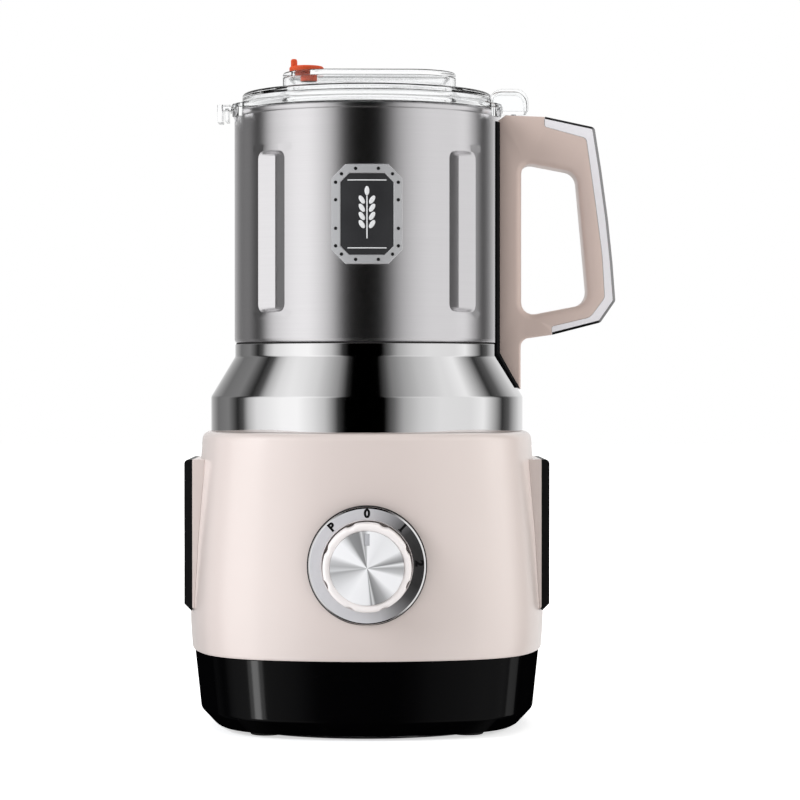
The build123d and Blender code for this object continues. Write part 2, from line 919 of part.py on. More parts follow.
def vent_plug():
    x, y = plug_place
    stem = disc(plug_radius, lid_high - lid_wall - 2.2, lid_high, x, y)
    cap = disc(8.8, lid_high, lid_high + 3.4, x - 1.2, y)
    cap = fillet(cap.edges().group_by(Axis.Z)[-1], 1.4)
    tab_x = x - 7.5
    tab = block((tab_x - 1.6, tab_x + 1.6), (y - 3.2, y + 3.2), (lid_high + 1.0, plug_top))
    tab = fillet(tab.edges().group_by(Axis.Z)[-1], 1.2)
    return stem + cap + tab


nodes = {
    "base_housing": base_housing(),
    "base_skirt": base_skirt(),
    "bottom_plate": bottom_plate(),
    "rubber_feet": rubber_feet(),
    "base_screws": base_screws(),
    "cord_gland": cord_gland(),
    "side_frame_right": side_frame(),
    "side_frame_left": mirrored(side_frame()),
    "side_grille_right": side_grille(),
    "side_grille_left": mirrored(side_grille()),
    "dial_bezel": dial_bezel(),
    "rotary_switch": rotary_switch(),
    "switch_nut": switch_nut(),
    "switch_shaft": switch_shaft(),
    "dial_knob": dial_knob(),
    "dial_cap": dial_cap(),
    "stator_core": stator_core(),
    "field_coils": field_coils(),
    "rotor_core": rotor_core(),
    "armature_windings": armature_windings(),
    "commutator": commutator(),
    "motor_shaft": motor_shaft(),
    "cooling_fan": cooling_fan(),
    "lower_bracket": lower_bracket(),
    "upper_bracket": upper_bracket(),
    "motor_bearings": motor_bearings(),
    "brush_holders": brush_holders(),
    "carbon_brushes": carbon_brushes(),
    "motor_screws": motor_screws(),
    "motor_mounts": motor_mounts(),
    "drive_coupling": drive_coupling(),
    "control_board": control_board(),
    "board_parts": board_parts(),
    "safety_switch": safety_switch(),
    "safety_plunger": safety_plunger(),
    "cup_seat": cup_seat(),
    "seat_gasket": seat_gasket(),
    "cup_body": cup_body(),
    "cup_collar": cup_collar(),
    "seam_ring": seam_ring(),
    "cup_holder": cup_holder(),
    "bearing_housing": bearing_housing(),
    "blade_bearings": blade_bearings(),
    "shaft_seal": shaft_seal(),
    "blade_shaft": blade_shaft(),
    "driven_coupling": driven_coupling(),
    "lower_blade": lower_blade(),
    "upper_blade": upper_blade(),
    "blade_spacers": blade_spacers(),
    "blade_washer": blade_washer(),
    "blade_nut": blade_nut(),
    "plaque": plaque(),
    "handle_body": handle_body(),
    "handle_trim": handle_trim(),
    "handle_bracket": handle_bracket(),
    "handle_screws": handle_screws(),
    "interlock_rod": interlock_rod(),
    "lid_seal": lid_seal(),
    "lid": lid(),
    "vent_plug": vent_plug(),
}

os.makedirs("parts", exist_ok=True)
for name, shape in nodes.items():
    export_step(shape, f"parts/{name}.step")
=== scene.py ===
import json
from math import atan2, copysign, cos, pi, radians, sin, sqrt, tan

import bmesh
import bpy
from mathutils import Matrix, Vector

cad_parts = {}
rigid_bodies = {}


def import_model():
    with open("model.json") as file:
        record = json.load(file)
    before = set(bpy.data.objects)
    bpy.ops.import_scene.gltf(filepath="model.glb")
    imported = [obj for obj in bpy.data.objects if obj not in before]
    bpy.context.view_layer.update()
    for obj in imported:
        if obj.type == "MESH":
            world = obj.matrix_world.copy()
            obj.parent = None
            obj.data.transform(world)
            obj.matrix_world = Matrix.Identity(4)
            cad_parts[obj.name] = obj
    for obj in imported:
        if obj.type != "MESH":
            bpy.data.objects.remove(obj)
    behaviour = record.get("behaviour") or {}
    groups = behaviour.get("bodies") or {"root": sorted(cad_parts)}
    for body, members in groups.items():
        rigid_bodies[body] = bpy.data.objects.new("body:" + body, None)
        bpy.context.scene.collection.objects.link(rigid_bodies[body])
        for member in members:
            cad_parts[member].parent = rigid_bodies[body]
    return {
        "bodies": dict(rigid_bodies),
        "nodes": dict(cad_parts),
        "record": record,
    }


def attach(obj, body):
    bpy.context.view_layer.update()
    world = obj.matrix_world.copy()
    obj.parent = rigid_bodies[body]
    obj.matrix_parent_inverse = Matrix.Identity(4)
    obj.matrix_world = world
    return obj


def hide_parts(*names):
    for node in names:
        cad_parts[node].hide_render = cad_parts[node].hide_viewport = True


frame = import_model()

mm = 0.001
kept = set(frame["nodes"].values()) | set(frame["bodies"].values())
for leftover in list(bpy.data.objects):
    if leftover not in kept:
        bpy.data.objects.remove(leftover)
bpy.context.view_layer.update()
print("frame loaded,", len(frame["nodes"]), "solids")


def addObject(name, data):
    made = bpy.data.objects.new(name, data)
    bpy.context.scene.collection.objects.link(made)
    return made


def aimAt(place, target):
    return (Vector(target) - Vector(place)).to_track_quat("-Z", "Y").to_euler()


# Camera and studio

view = {"eye": (0.0, -1.45, 0.177), "aim": (0.017, 0.0, 0.1657), "lens": 126.7}

camera = addObject("camera", bpy.data.cameras.new("camera"))
camera.data.lens = view["lens"]
camera.data.sensor_width = 36.0
camera.location = view["eye"]
camera.rotation_euler = aimAt(view["eye"], view["aim"])
bpy.context.scene.camera = camera
bpy.context.scene.view_settings.view_transform = "Standard"

# Cards stand round the object: degrees from the front, positive to the right, and grey levels
studio = {
    "wall": 0.53,
    "mirrorCards": [
        (-180, .9), (-160, .42), (-142, .16), (-123, .2), (-110, .02), (-103, .08), (-97, .45), (-88, .75),
        (-65, .98), (-52, 1.0), (-40, .78), (-31, .55), (-21, .04), (-16, 0), (13, 0), (20, .14), (27, .4),
        (40, .64), (55, .77), (82, .75), (95, .88), (105, .5), (118, .03), (128, .1), (138, .38),
        (152, .7), (180, .9)],
    "mirrorEnds": (0.72, 0.93), "glassEnds": (0.5, 0.72), "glassLevel": 1.06,
    "lampAim": (0, 0, 0.15),
    "lamps": [
        ("keyLamp", (-1.45, -0.8, 0.95), 0.9, 20.5, (0.97, 1.0, 1.04)),
        ("fillLamp", (1.65, -0.23, 0.7), 0.9, 13.2, (1.0, 1.0, 0.99)),
        ("topLamp", (0.1, 0.35, 1.7), 1.1, 6.0, (1, 1, 1)),
        ("rearLamp", (-0.5, 1.5, 0.9), 0.9, 7.0, (1, 1, 1))],
    "glows": [
        ("leftGlow", (-0.858, -0.597, -0.265), (-0.054, -0.076, 0.025), 0.34, 1.6),
        ("leftCore", (-0.84, -0.588, -0.259), (-0.054, -0.076, 0.025), 0.15, 2.1),
        ("rightGlow", (0.964, 0.326, -0.19), (0.07, -0.062, 0.025), 0.3, 0.65)],
    "glowTall": 0.36, "floorHalf": 6.0,
    "floorLook": {"color": (0.84, 0.84, 0.84), "mirror": 0, "sockets": {
        "Base Color": (0.84, 0.84, 0.84, 1), "Roughness": 0.9, "Emission Color": (1, 1, 1, 1)}},
    "floorGlow": (0.3, 1.6, 0.6, 1.0), "paintedShadeRadius": 0.07,
}


# Links a socket to another, or sets its own value
def feed(tree, socket, value):
    if isinstance(value, bpy.types.NodeSocket):
        tree.links.new(value, socket)
    elif value is not None:
        socket.default_value = value


def addNode(tree, kind, **sockets):
    node = tree.nodes.new(kind)
    for name, value in sockets.items():
        feed(tree, node.inputs[name], value)
    return node


def mathNode(tree, operation, first, second=None):
    node = tree.nodes.new("ShaderNodeMath")
    node.operation = operation
    feed(tree, node.inputs[0], first)
    feed(tree, node.inputs[1], second)
    return node.outputs[0]


def mixColor(tree, share, first, second, blend="MIX"):
    node = tree.nodes.new("ShaderNodeMix")
    node.data_type = "RGBA"
    node.blend_type = blend
    for place, value in ((0, share), (6, first), (7, second)):
        feed(tree, node.inputs[place], value)
    return node.outputs[2]


def joinAxes(tree, parts):
    node = tree.nodes.new("ShaderNodeCombineXYZ")
    for socket, part in zip(node.inputs, parts):
        feed(tree, socket, part)
    return node.outputs[0]


def mapRange(tree, value, bounds):
    node = tree.nodes.new("ShaderNodeMapRange")
    for socket, number in zip(node.inputs, (value, *bounds)):
        feed(tree, socket, number)
    return node.outputs[0]


# Grey levels round a full turn, from -180 to 180 degrees
def greyRamp(tree, factor, stops):
    node = tree.nodes.new("ShaderNodeValToRGB")
    ramp = node.color_ramp
    while len(ramp.elements) > 1:
        ramp.elements.remove(ramp.elements[-1])
    for i, (angle, level) in enumerate(stops):
        share = (angle + 180) / 360
        element = ramp.elements[0] if i == 0 else ramp.elements.new(share)
        element.position = share
        element.color = (level, level, level, 1.0)
    tree.links.new(factor, node.inputs[0])
    return node.outputs[0]


def turnShare(tree, first, second):
    angle = mathNode(tree, "ARCTAN2", first, second)
    return mathNode(tree, "ADD", mathNode(tree, "DIVIDE", angle, 2 * pi), 0.5)


def buildWorld():
    world = bpy.data.worlds.new("studioWorld")
    bpy.context.scene.world = world
    world.use_nodes = True
    tree = world.node_tree
    ray = tree.nodes.new("ShaderNodeLightPath").outputs
    place = tree.nodes.new("ShaderNodeTexCoord").outputs["Generated"]
    parts = addNode(tree, "ShaderNodeSeparateXYZ", Vector=place).outputs
    share = turnShare(tree, parts["X"], mathNode(tree, "MULTIPLY", parts["Y"], -1.0))
    rise = mathNode(tree, "ABSOLUTE", parts["Z"])
    bright, level = studio["glassLevel"], studio["wall"]
    cards = [greyRamp(tree, share, studio["mirrorCards"]), (bright, bright, bright, 1)]
    for i, bounds in enumerate((studio["mirrorEnds"], studio["glassEnds"])):
        cards[i] = mixColor(tree, mapRange(tree, rise, bounds + (0.0, 1.0)), cards[i], (0, 0, 0, 1))
    color = mixColor(tree, ray["Is Glossy Ray"], (level, level, level, 1), cards[0])
    color = mixColor(tree, ray["Is Transmission Ray"], color, cards[1])
    color = mixColor(tree, ray["Is Camera Ray"], color, (1, 1, 1, 1))
    tree.links.new(color, tree.nodes["Background"].inputs["Color"])
    world.cycles.sampling_method = "NONE"


def addLamp(name, place, target, size, power):
    lamp = addObject(name, bpy.data.lights.new(name, "AREA"))
    lamp.data.size = size
    lamp.data.energy = power
    lamp.location = place
    lamp.rotation_euler = aimAt(place, target)
    lamp.visible_transmission = False
    return lamp


def buildLamps():
    for name, place, size, power, tint in studio["lamps"]:
        lamp = addLamp(name, place, studio["lampAim"], size, power)
        lamp.data.color = tint
        lamp.visible_glossy = False


def toMesh(name, bm):
    mesh = bpy.data.meshes.new(name)
    bm.to_mesh(mesh)
    bm.free()
    return mesh


def startSurface(name, look):
    surface = bpy.data.materials.new(name)
    surface.use_nodes = True
    surface.diffuse_color = look["color"] + (1.0,)
    tree = surface.node_tree
    shader = tree.nodes["Principled BSDF"].inputs
    sockets = {"Metallic": look.get("metal", 0), "Anisotropic": look.get("pull", 0),
               "Specular IOR Level": look.get("mirror", 0.5), **look.get("sockets", {})}
    for socket, value in sockets.items():
        shader[socket].default_value = value
    return surface, tree, shader, tree.nodes.new("ShaderNodeTexCoord").outputs["Object"]


def buildFloor():
    bm = bmesh.new()
    bmesh.ops.create_grid(bm, x_segments=2, y_segments=2, size=studio["floorHalf"])
    floor = addObject("floor", toMesh("floor", bm))
    surface, tree, shader, place = startSurface("paleFloor", studio["floorLook"])
    ray = tree.nodes.new("ShaderNodeLightPath").outputs
    seen = mathNode(tree, "MAXIMUM", ray["Is Camera Ray"], ray["Is Transmission Ray"])
    length = tree.nodes.new("ShaderNodeVectorMath")
    length.operation = "LENGTH"
    tree.links.new(place, length.inputs[0])
    reach = length.outputs["Value"]
    # Inside this radius, under the base, the glow is left out: a painted shade disc under the object
    outsidePaintedShade = mathNode(tree, "GREATER_THAN", reach, studio["paintedShadeRadius"])
    glow = mathNode(tree, "MULTIPLY", mathNode(tree, "MULTIPLY", seen, outsidePaintedShade),
                    mapRange(tree, reach, studio["floorGlow"]))
    feed(tree, shader["Emission Strength"], glow)
    feed(tree, shader["Alpha"], mathNode(tree, "SUBTRACT", 1.0, ray["Is Glossy Ray"]))
    floor.data.materials.append(surface)


buildWorld()
buildLamps()
buildFloor()
print("studio ready")


# Finishes


def noiseOn(tree, vector, scale, detail):
    node = addNode(tree, "ShaderNodeTexNoise", Detail=detail, Roughness=0.55, Vector=vector, Scale=scale)
    return node.outputs["Fac"]


# Both groups tint and roughen by one mask; mottling adds a grain, brushing is its own height
def buildGroup(name, extras, brushed):
    group = bpy.data.node_groups.new(name, "ShaderNodeTree")
    inputs = [("Vector", "Vector"), ("Color", "Color"), ("Shade", "Color")]
    inputs += [(label, "Float") for label in (*extras, "Roughness", "Spread")]
    outputs = [("Color", "Color"), ("Roughness", "Float"), ("Height", "Float")]
    for way, sockets in (("INPUT", inputs), ("OUTPUT", outputs)):
        for label, kind in sockets:
            group.interface.new_socket(name=label, in_out=way, socket_type="NodeSocket" + kind)
    given = group.nodes.new("NodeGroupInput").outputs
    result = group.nodes.new("NodeGroupOutput").inputs
    vector = given["Vector"]
    if brushed:
        lines, threads = noiseOn(group, vector, 1.0, 6.0), noiseOn(group, vector, 3.7, 4.0)
        height = mask = mathNode(group, "MULTIPLY", mathNode(group, "ADD", lines, threads), 0.5)
    else:
        mask = noiseOn(group, vector, given["Patches"], 2.0)
        height = noiseOn(group, vector, given["Grain"], 4.0)
    swing = mathNode(group, "MULTIPLY", mathNode(group, "SUBTRACT", mask, 0.5), given["Spread"])
    feed(group, result["Color"], mixColor(group, mask, given["Color"], given["Shade"]))
    feed(group, result["Roughness"], mathNode(group, "ADD", swing, given["Roughness"]))
    feed(group, result["Height"], height)
    return group


mottleGroup = buildGroup("moulded mottle", ("Patches", "Grain"), False)
brushGroup = buildGroup("brushed lines", (), True)


def dressShader(tree, shader, group, look, vector):
    node = tree.nodes.new("ShaderNodeGroup")
    node.node_tree = group
    shade = look.get("shade", tuple(0.93 * part for part in look["color"]))
    values = {"Vector": vector, "Color": look["color"] + (1.0,), "Shade": shade + (1.0,),
              "Roughness": look["roughness"], "Spread": look.get("spread", 0.06)}
    for socket, value in values.items():
        feed(tree, node.inputs[socket], value)
    bump = addNode(tree, "ShaderNodeBump", Strength=look.get("bump", 0.1), Distance=0.0001,
                   Height=node.outputs["Height"])
    feed(tree, shader["Roughness"], node.outputs["Roughness"])
    feed(tree, shader["Normal"], bump.outputs["Normal"])
    feed(tree, shader["Base Color"], node.outputs["Color"])
    return node


def mouldedSurface(name, look):
    surface, tree, shader, vector = startSurface(name, look)
    node = dressShader(tree, shader, mottleGroup, look, vector)
    node.inputs["Patches"].default_value = look.get("patches", 14.0)
    node.inputs["Grain"].default_value = look.get("grain", 1600.0)
    if "fade" in look:
        facing = addNode(tree, "ShaderNodeLayerWeight", Blend=0.5).outputs["Facing"]
        feed(tree, shader["Specular IOR Level"], mapRange(tree, facing, look["fade"]))
    return surface


# Brushing runs along the two axes with the small numbers; the tangent is square to it
def brushedSurface(name, look):
    surface, tree, shader, vector = startSurface(name, look)
    stretch = addNode(tree, "ShaderNodeMapping", Scale=look["stretch"], Vector=vector)
    dressShader(tree, shader, brushGroup, look, stretch.outputs[0])
    if "tangent" in look:
        feed(tree, shader["Tangent"], joinAxes(tree, look["tangent"]))
    return surface


# Spun metal seen along Y: grooves run round the dial's axis and stretch the gloss along radii. A painted
# sheen of light and dark sectors round the axis is multiplied into the base colour.
def spunSurface(name, look):
    surface, tree, shader, vector = startSurface(name, look)
    centred = addNode(tree, "ShaderNodeMapping", Location=(0, 0, -look["axisHeight"]), Vector=vector)
    parts = addNode(tree, "ShaderNodeSeparateXYZ", Vector=centred.outputs[0]).outputs
    x, z = parts["X"], parts["Z"]
    squares = [mathNode(tree, "MULTIPLY", part, part) for part in (x, z)]
    reach = mathNode(tree, "SQRT", mathNode(tree, "ADD", *squares))
    scales = ((x, look["streaks"]), (reach, look["rings"]), (z, look["streaks"]))
    rings = joinAxes(tree, [mathNode(tree, "MULTIPLY", part, scale) for part, scale in scales])
    node = dressShader(tree, shader, brushGroup, look, rings)
    # Painted sheen and painted reflection: grey levels by angle round the axis darken the colour in sectors
    fan = greyRamp(tree, turnShare(tree, x, z), look["fan"])
    feed(tree, shader["Base Color"], mixColor(tree, 1.0, node.outputs["Color"], fan, "MULTIPLY"))
    feed(tree, shader["Tangent"], joinAxes(tree, (x, 0, z)))
    return surface


def makeLook(color, roughness, **more):
    return dict(color=color, roughness=roughness, **more)


# The record's slots come first in each dictionary, then finishes of single pieces. Spread is how far
# the roughness swings, mirror the specular level, and pull the anisotropy.
mouldedLooks = {
    "cream_plastic": makeLook(
        (0.795, 0.69, 0.648), 0.42, shade=(0.775, 0.67, 0.628), spread=0.04, bump=0.05,
        sockets={"Coat Weight": 1, "Coat IOR": 2, "Coat Roughness": 0.24}),
    "taupe_plastic": makeLook(
        (0.65, 0.515, 0.46), 0.5, shade=(0.63, 0.497, 0.442), spread=0.05, bump=0.08,
        sockets={"Coat Weight": 0.3, "Coat Roughness": 0.3, "Sheen Weight": 0.6, "Sheen Roughness": 0.35}),
    "black_gloss": makeLook((0.001, 0.001, 0.0012), 0.1, spread=0.03, bump=0.01, fade=(0.2, 0.6, 0.09, 0)),
    "black_plastic": makeLook((0.006, 0.006, 0.0065), 0.4, spread=0.08, bump=0.12, mirror=0.3),
    "black_rubber": makeLook((0.018, 0.017, 0.017), 0.75, spread=0.1, bump=0.3, grain=900),
    "carbon": makeLook((0.03, 0.03, 0.032), 0.55, bump=0.2),
    "cast_aluminium": makeLook((0.6, 0.6, 0.61), 0.45, spread=0.15, bump=0.4, grain=700, metal=1),
    "board_green": makeLook((0.02, 0.14, 0.06), 0.35, shade=(0.015, 0.1, 0.045), patches=160),
    "board_black": makeLook((0.02, 0.02, 0.022), 0.4),
    "orange_silicone": makeLook(
        (0.72, 0.095, 0.022), 0.42, shade=(0.66, 0.08, 0.02), bump=0.06,
        sockets={"Subsurface Weight": 0.15, "Subsurface Radius": (0.004, 0.0015, 0.001)}),
    "clear_plastic": makeLook(
        (0.985, 0.99, 0.99), 0.025, shade=(0.975, 0.98, 0.985), spread=0.02, bump=0.01, patches=30,
        sockets={"Transmission Weight": 1, "IOR": 1.36}),
    "clear_silicone": makeLook(
        (0.93, 0.93, 0.92), 0.3, bump=0.05, sockets={"Transmission Weight": 0.85, "IOR": 1.41}),
    "inkBlack": makeLook((0.003, 0.003, 0.0035), 0.6, bump=0.05, mirror=0.15),
    "gapShadeBlack": makeLook((0.004, 0.004, 0.0045), 0.8, bump=0.05, mirror=0.02),
    "panelDark": makeLook(
        (0.022, 0.022, 0.024), 0.38, shade=(0.035, 0.035, 0.037), spread=0.15, bump=0.3, patches=60,
        grain=1900, sockets={"Coat Weight": 0.2}),
    # A lighter copy of the cream plastic for the knob: painted light on its front
    "knobLitCream": makeLook(
        (0.97, 0.915, 0.895), 0.4, shade=(0.96, 0.9, 0.88), spread=0.04, bump=0.04,
        sockets={"Coat Weight": 0.6, "Coat Roughness": 0.2}),
    "notchShadeGrey": makeLook((0.5, 0.5, 0.52), 0.45, bump=0.04),
    "enamelWhite": makeLook((0.8, 0.8, 0.8), 0.4, bump=0.05),
}
brushedLooks = {
    "brushed_steel": makeLook(
        (0.9, 0.885, 0.9), 0.3, shade=(0.8, 0.785, 0.8), spread=0.12, bump=0.2, stretch=(14, 14, 2600),
        tangent=(0, 0, 1), metal=1, pull=0.85),
    "chrome": makeLook(
        (0.93, 0.925, 0.93), 0.07, shade=(0.91, 0.905, 0.91), spread=0.03, bump=0.02, stretch=(20, 20, 900),
        tangent=(0, 0, 1), metal=1, pull=0.3),
    "plaque_metal": makeLook(
        (0.7, 0.7, 0.71), 0.5, shade=(0.62, 0.62, 0.63), spread=0.1, stretch=(60, 60, 1500), metal=0.55),
    "screw_steel": makeLook((0.55, 0.55, 0.56), 0.3, stretch=(400, 400, 80), metal=1),
    "shaft_steel": makeLook((0.62, 0.62, 0.64), 0.22, bump=0.08, stretch=(60, 60, 1800), metal=1),
    "blade_steel": makeLook((0.75, 0.75, 0.77), 0.2, bump=0.12, stretch=(900, 40, 900), metal=1, pull=0.3),
    "lamination": makeLook(
        (0.33, 0.33, 0.35), 0.4, shade=(0.16, 0.16, 0.17), spread=0.2, bump=0.5, stretch=(8, 8, 1900),
        metal=0.9),
    "copper_wire": makeLook(
        (0.62, 0.24, 0.1), 0.3, shade=(0.4, 0.14, 0.05), spread=0.2, bump=0.6, stretch=(120, 120, 1300),
        metal=0.8),
    "trimSilver": makeLook(
        (0.95, 0.925, 0.95), 0.35, shade=(0.93, 0.905, 0.93), spread=0.05, bump=0.03,
        stretch=(30, 1200, 30), metal=0.1),
    "trimEdge": makeLook(
        (0.4, 0.395, 0.4), 0.2, shade=(0.36, 0.355, 0.36), spread=0.05, bump=0.03, stretch=(30, 1200, 30),
        metal=1),
}
# Each spun finish's fan is a painted sheen of light and dark sectors round the dial's axis; the bezel's dark
# sector on its right is painted reflection
spunLooks = {
    "spun_aluminium": makeLook(
        (1, 0.995, 1), 0.32, shade=(0.96, 0.955, 0.97), spread=0.1, bump=0.08,
        metal=0.05, pull=0.6, rings=2600, streaks=30, axisHeight=0.0863,
        fan=[(-180, .95), (-150, 1), (-130, .86), (-106, .6), (-98, .42), (-94, .7), (-86, .48), (-78, .6),
             (-68, 1), (-46, 1), (-38, .75), (-30, .3), (-13, .25), (-9, .8), (-7, .42), (-3, .5), (2, 1),
             (30, .88), (62, .95), (71, .5), (79, .26), (83, .95), (89, .42), (99, .6), (106, 1), (132, 1),
             (150, .42), (166, .25), (170, .8), (173, .3), (176, .9), (180, .95)]),
    "bezel_steel": makeLook(
        (0.66, 0.655, 0.675), 0.4, shade=(0.6, 0.595, 0.615), spread=0.1, bump=0.08,
        metal=0.05, pull=0.5, rings=1500, streaks=30, axisHeight=0.0863,
        fan=[(-180, 1), (-120, 1), (-60, 1), (0, .95), (22, .6), (38, .26), (52, .07), (70, .05),
             (112, .05), (128, .12), (145, .4), (165, .9), (180, 1)]),
}

surfaces = {}
for makeSurface, looks in ((mouldedSurface, mouldedLooks), (brushedSurface, brushedLooks),
                           (spunSurface, spunLooks)):
    for label, look in looks.items():
        surfaces[label] = makeSurface(label, look)
print("finishes made:", len(surfaces))


# Helpers for shapes

# How near two places count as one, in metres
weldGap, ringGap, fineGap = 1e-6, 2e-6, 1e-7
quarterTurn = [radians(t) for t in (0, 22.5, 45, 67.5, 90)]
subparts = frame["record"]["subparts"]
slotOf = {part["node"]: part["material_slot"] for part in subparts}
bodies = frame["record"]["behaviour"]["bodies"]
bodyOf = {node: body for body, members in bodies.items() for node in members}


def placePiece(name, bm, body, slotName, *replaced, finish=None):
    piece = addObject(name, toMesh(name, bm))
    piece.data.shade_smooth()
    piece.data.materials.append(surfaces[finish or slotName])
    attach(piece, body)
    if replaced:
        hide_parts(*replaced)
    return piece


def sharpen(piece, degrees):
    piece.data.shade_smooth()
    piece.data.set_sharp_from_angle(angle=radians(degrees))


# Rounds the hard edges and keeps broad faces flat under smooth shading
def softenEdges(piece, width, segments=3, angle=32.0):
    bevel = piece.modifiers.new("roundedEdges", "BEVEL")
    bevel.width = width * mm
    bevel.segments = segments
    bevel.limit_method = "ANGLE"
    bevel.angle_limit = radians(angle)
    piece.modifiers.new("flatFaces", "WEIGHTED_NORMAL").keep_sharp = True


def thicken(piece, thickness):
    wall = piece.modifiers.new("wall", "SOLIDIFY")
    wall.thickness = thickness * mm
    wall.offset = -1.0
    wall.use_even_offset = True


def evaluatedMesh(thing):
    return bpy.data.meshes.new_from_object(thing.evaluated_get(bpy.context.evaluated_depsgraph_get()))


# Applies the modifiers
def settle(piece):
    shape = evaluatedMesh(piece)
    old = piece.data
    piece.modifiers.clear()
    piece.data = shape
    shape.name = old.name
    bpy.data.meshes.remove(old)


def carve(piece, cutterShape):
    mesh = toMesh("cutter", cutterShape)
    cutter = addObject("cutter", mesh)
    step = piece.modifiers.new("cut", "BOOLEAN")
    step.operation = "DIFFERENCE"
    step.solver = "EXACT"
    step.object = cutter
    bpy.context.view_layer.update()
    settle(piece)
    bpy.data.objects.remove(cutter)
    bpy.data.meshes.remove(mesh)


def drill(piece, place, radius, depth, segments):
    hole = bmesh.new()
    bmesh.ops.create_cone(hole, cap_ends=True, segments=segments, radius1=radius * mm, radius2=radius * mm,
                          depth=depth * mm, matrix=Matrix.Translation([part * mm for part in place]))
    carve(piece, hole)


def bevelEdges(bm, edges, amount, segments, clamped=False):
    bmesh.ops.bevel(bm, geom=edges, offset=amount * mm, offset_type="OFFSET", segments=segments,
                    profile=0.5, affect="EDGES", material=-1, clamp_overlap=clamped)


def sliceAt(bm, place, normal):
    bmesh.ops.bisect_plane(bm, geom=list(bm.verts) + list(bm.edges) + list(bm.faces), dist=fineGap,
                           plane_co=[part * mm for part in place], plane_no=normal)


def turnAbout(bm, axis, angle, verts=None):
    bmesh.ops.rotate(bm, cent=(0, 0, 0), matrix=Matrix.Rotation(angle, 3, axis), verts=verts or bm.verts)


def moveBy(bm, offset, verts=None):
    bmesh.ops.translate(bm, vec=[part * mm for part in offset], verts=verts or bm.verts)


def faceOut(bm):
    bmesh.ops.recalc_face_normals(bm, faces=bm.faces)


def roundRing(bm, radius, height, amount):
    place = Vector((radius, height)) * mm
    ring = [e for e in bm.edges
            if all((Vector((v.co.xy.length, v.co.z)) - place).length < ringGap for v in e.verts)]
    bevelEdges(bm, ring, amount, 4, True)


def extrudeRing(bm, edges):
    grown = bmesh.ops.extrude_edge_only(bm, edges=edges)["geom"]
    ring = [g for g in grown if isinstance(g, bmesh.types.BMVert)]
    return ring, [g for g in grown if isinstance(g, bmesh.types.BMEdge)]


# Raises a lone ring through levels of (radius, height)
def raiseRing(bm, levels):
    ring, edges = list(bm.verts), list(bm.edges)
    moveBy(bm, (0, 0, levels[0][1]))
    for (before, low), (after, high) in zip(levels, levels[1:]):
        ring, edges = extrudeRing(bm, edges)
        bmesh.ops.scale(bm, vec=(after / before, after / before, 1), verts=ring)
        moveBy(bm, (0, 0, high - low), ring)
    return edges


# A closed skin through rings of (reach, height, middle x), where reach gives the radius at an angle
def skinThrough(rings, count):
    bm = bmesh.new()
    bmesh.ops.create_circle(bm, segments=count, radius=1.0)
    ring, edges = list(bm.verts), list(bm.edges)
    before = 0.0
    for i, (reach, height, middle) in enumerate(rings):
        if i:
            ring, edges = extrudeRing(bm, edges)
        for v in ring:
            angle = atan2(v.co.y, v.co.x - before)
            radius = reach(angle)
            v.co = Vector((middle + radius * cos(angle), radius * sin(angle), height)) * mm
        before = middle * mm
    bmesh.ops.holes_fill(bm, edges=[e for e in bm.edges if e.is_boundary], sides=0)
    faceOut(bm)
    return bm


def circleRings(levels):
    return [(lambda angle, radius=radius: radius, height, 0.0) for radius, height in levels]


# Angle from the middle of a square's nearest side
def fromSide(angle):
    return abs((angle + pi / 4) % (pi / 2) - pi / 4)


# Turns a profile of (radius, height, corner rounding) about the drive axis
def turnProfile(profile, steps, closed=True):
    bm = bmesh.new()
    dots = [bm.verts.new((radius * mm, 0, height * mm)) for radius, height, _ in profile]
    for first, second in zip(dots, dots[1:]):
        bm.edges.new((first, second))
    if closed:
        bm.edges.new((dots[-1], dots[0]))
    bmesh.ops.spin(bm, geom=list(bm.verts) + list(bm.edges), cent=(0, 0, 0), axis=(0, 0, 1),
                   angle=2 * pi, steps=steps, use_merge=True)
    bmesh.ops.remove_doubles(bm, verts=bm.verts, dist=weldGap)
    faceOut(bm)
    for radius, height, rounding in profile:
        if rounding:
            roundRing(bm, radius, height, rounding)
    return bm


def roundBox(low, high, rounding=0.0, segments=3):
    bm = bmesh.new()
    bmesh.ops.create_cube(bm, size=1.0)
    bmesh.ops.scale(bm, vec=[(b - a) * mm for a, b in zip(low, high)], verts=bm.verts)
    moveBy(bm, [(a + b) / 2 for a, b in zip(low, high)])
    if rounding:
        bevelEdges(bm, list(bm.edges), rounding, segments)
    return bm


def mergeInto(target, source):
    mesh = toMesh("merged", source)
    target.from_mesh(mesh)
    bpy.data.meshes.remove(mesh)


def joinBoxes(boxes):
    bm = bmesh.new()
    for box in boxes:
        mergeInto(bm, roundBox(*box))
    return bm


# A copy of a solid with its facets joined, so that its edges can be rounded
def copySolid(node, name, width=0.3, segments=2, slotName=None, finish=None):
    bm = bmesh.new()
    bm.from_mesh(frame["nodes"][node].data)
    bmesh.ops.remove_doubles(bm, verts=bm.verts, dist=weldGap)
    bmesh.ops.dissolve_limit(bm, angle_limit=radians(0.6), verts=bm.verts, edges=bm.edges)
    piece = placePiece(name, bm, bodyOf[node], slotName or slotOf[node], node, finish=finish)
    softenEdges(piece, width, segments)
    return piece


# Base

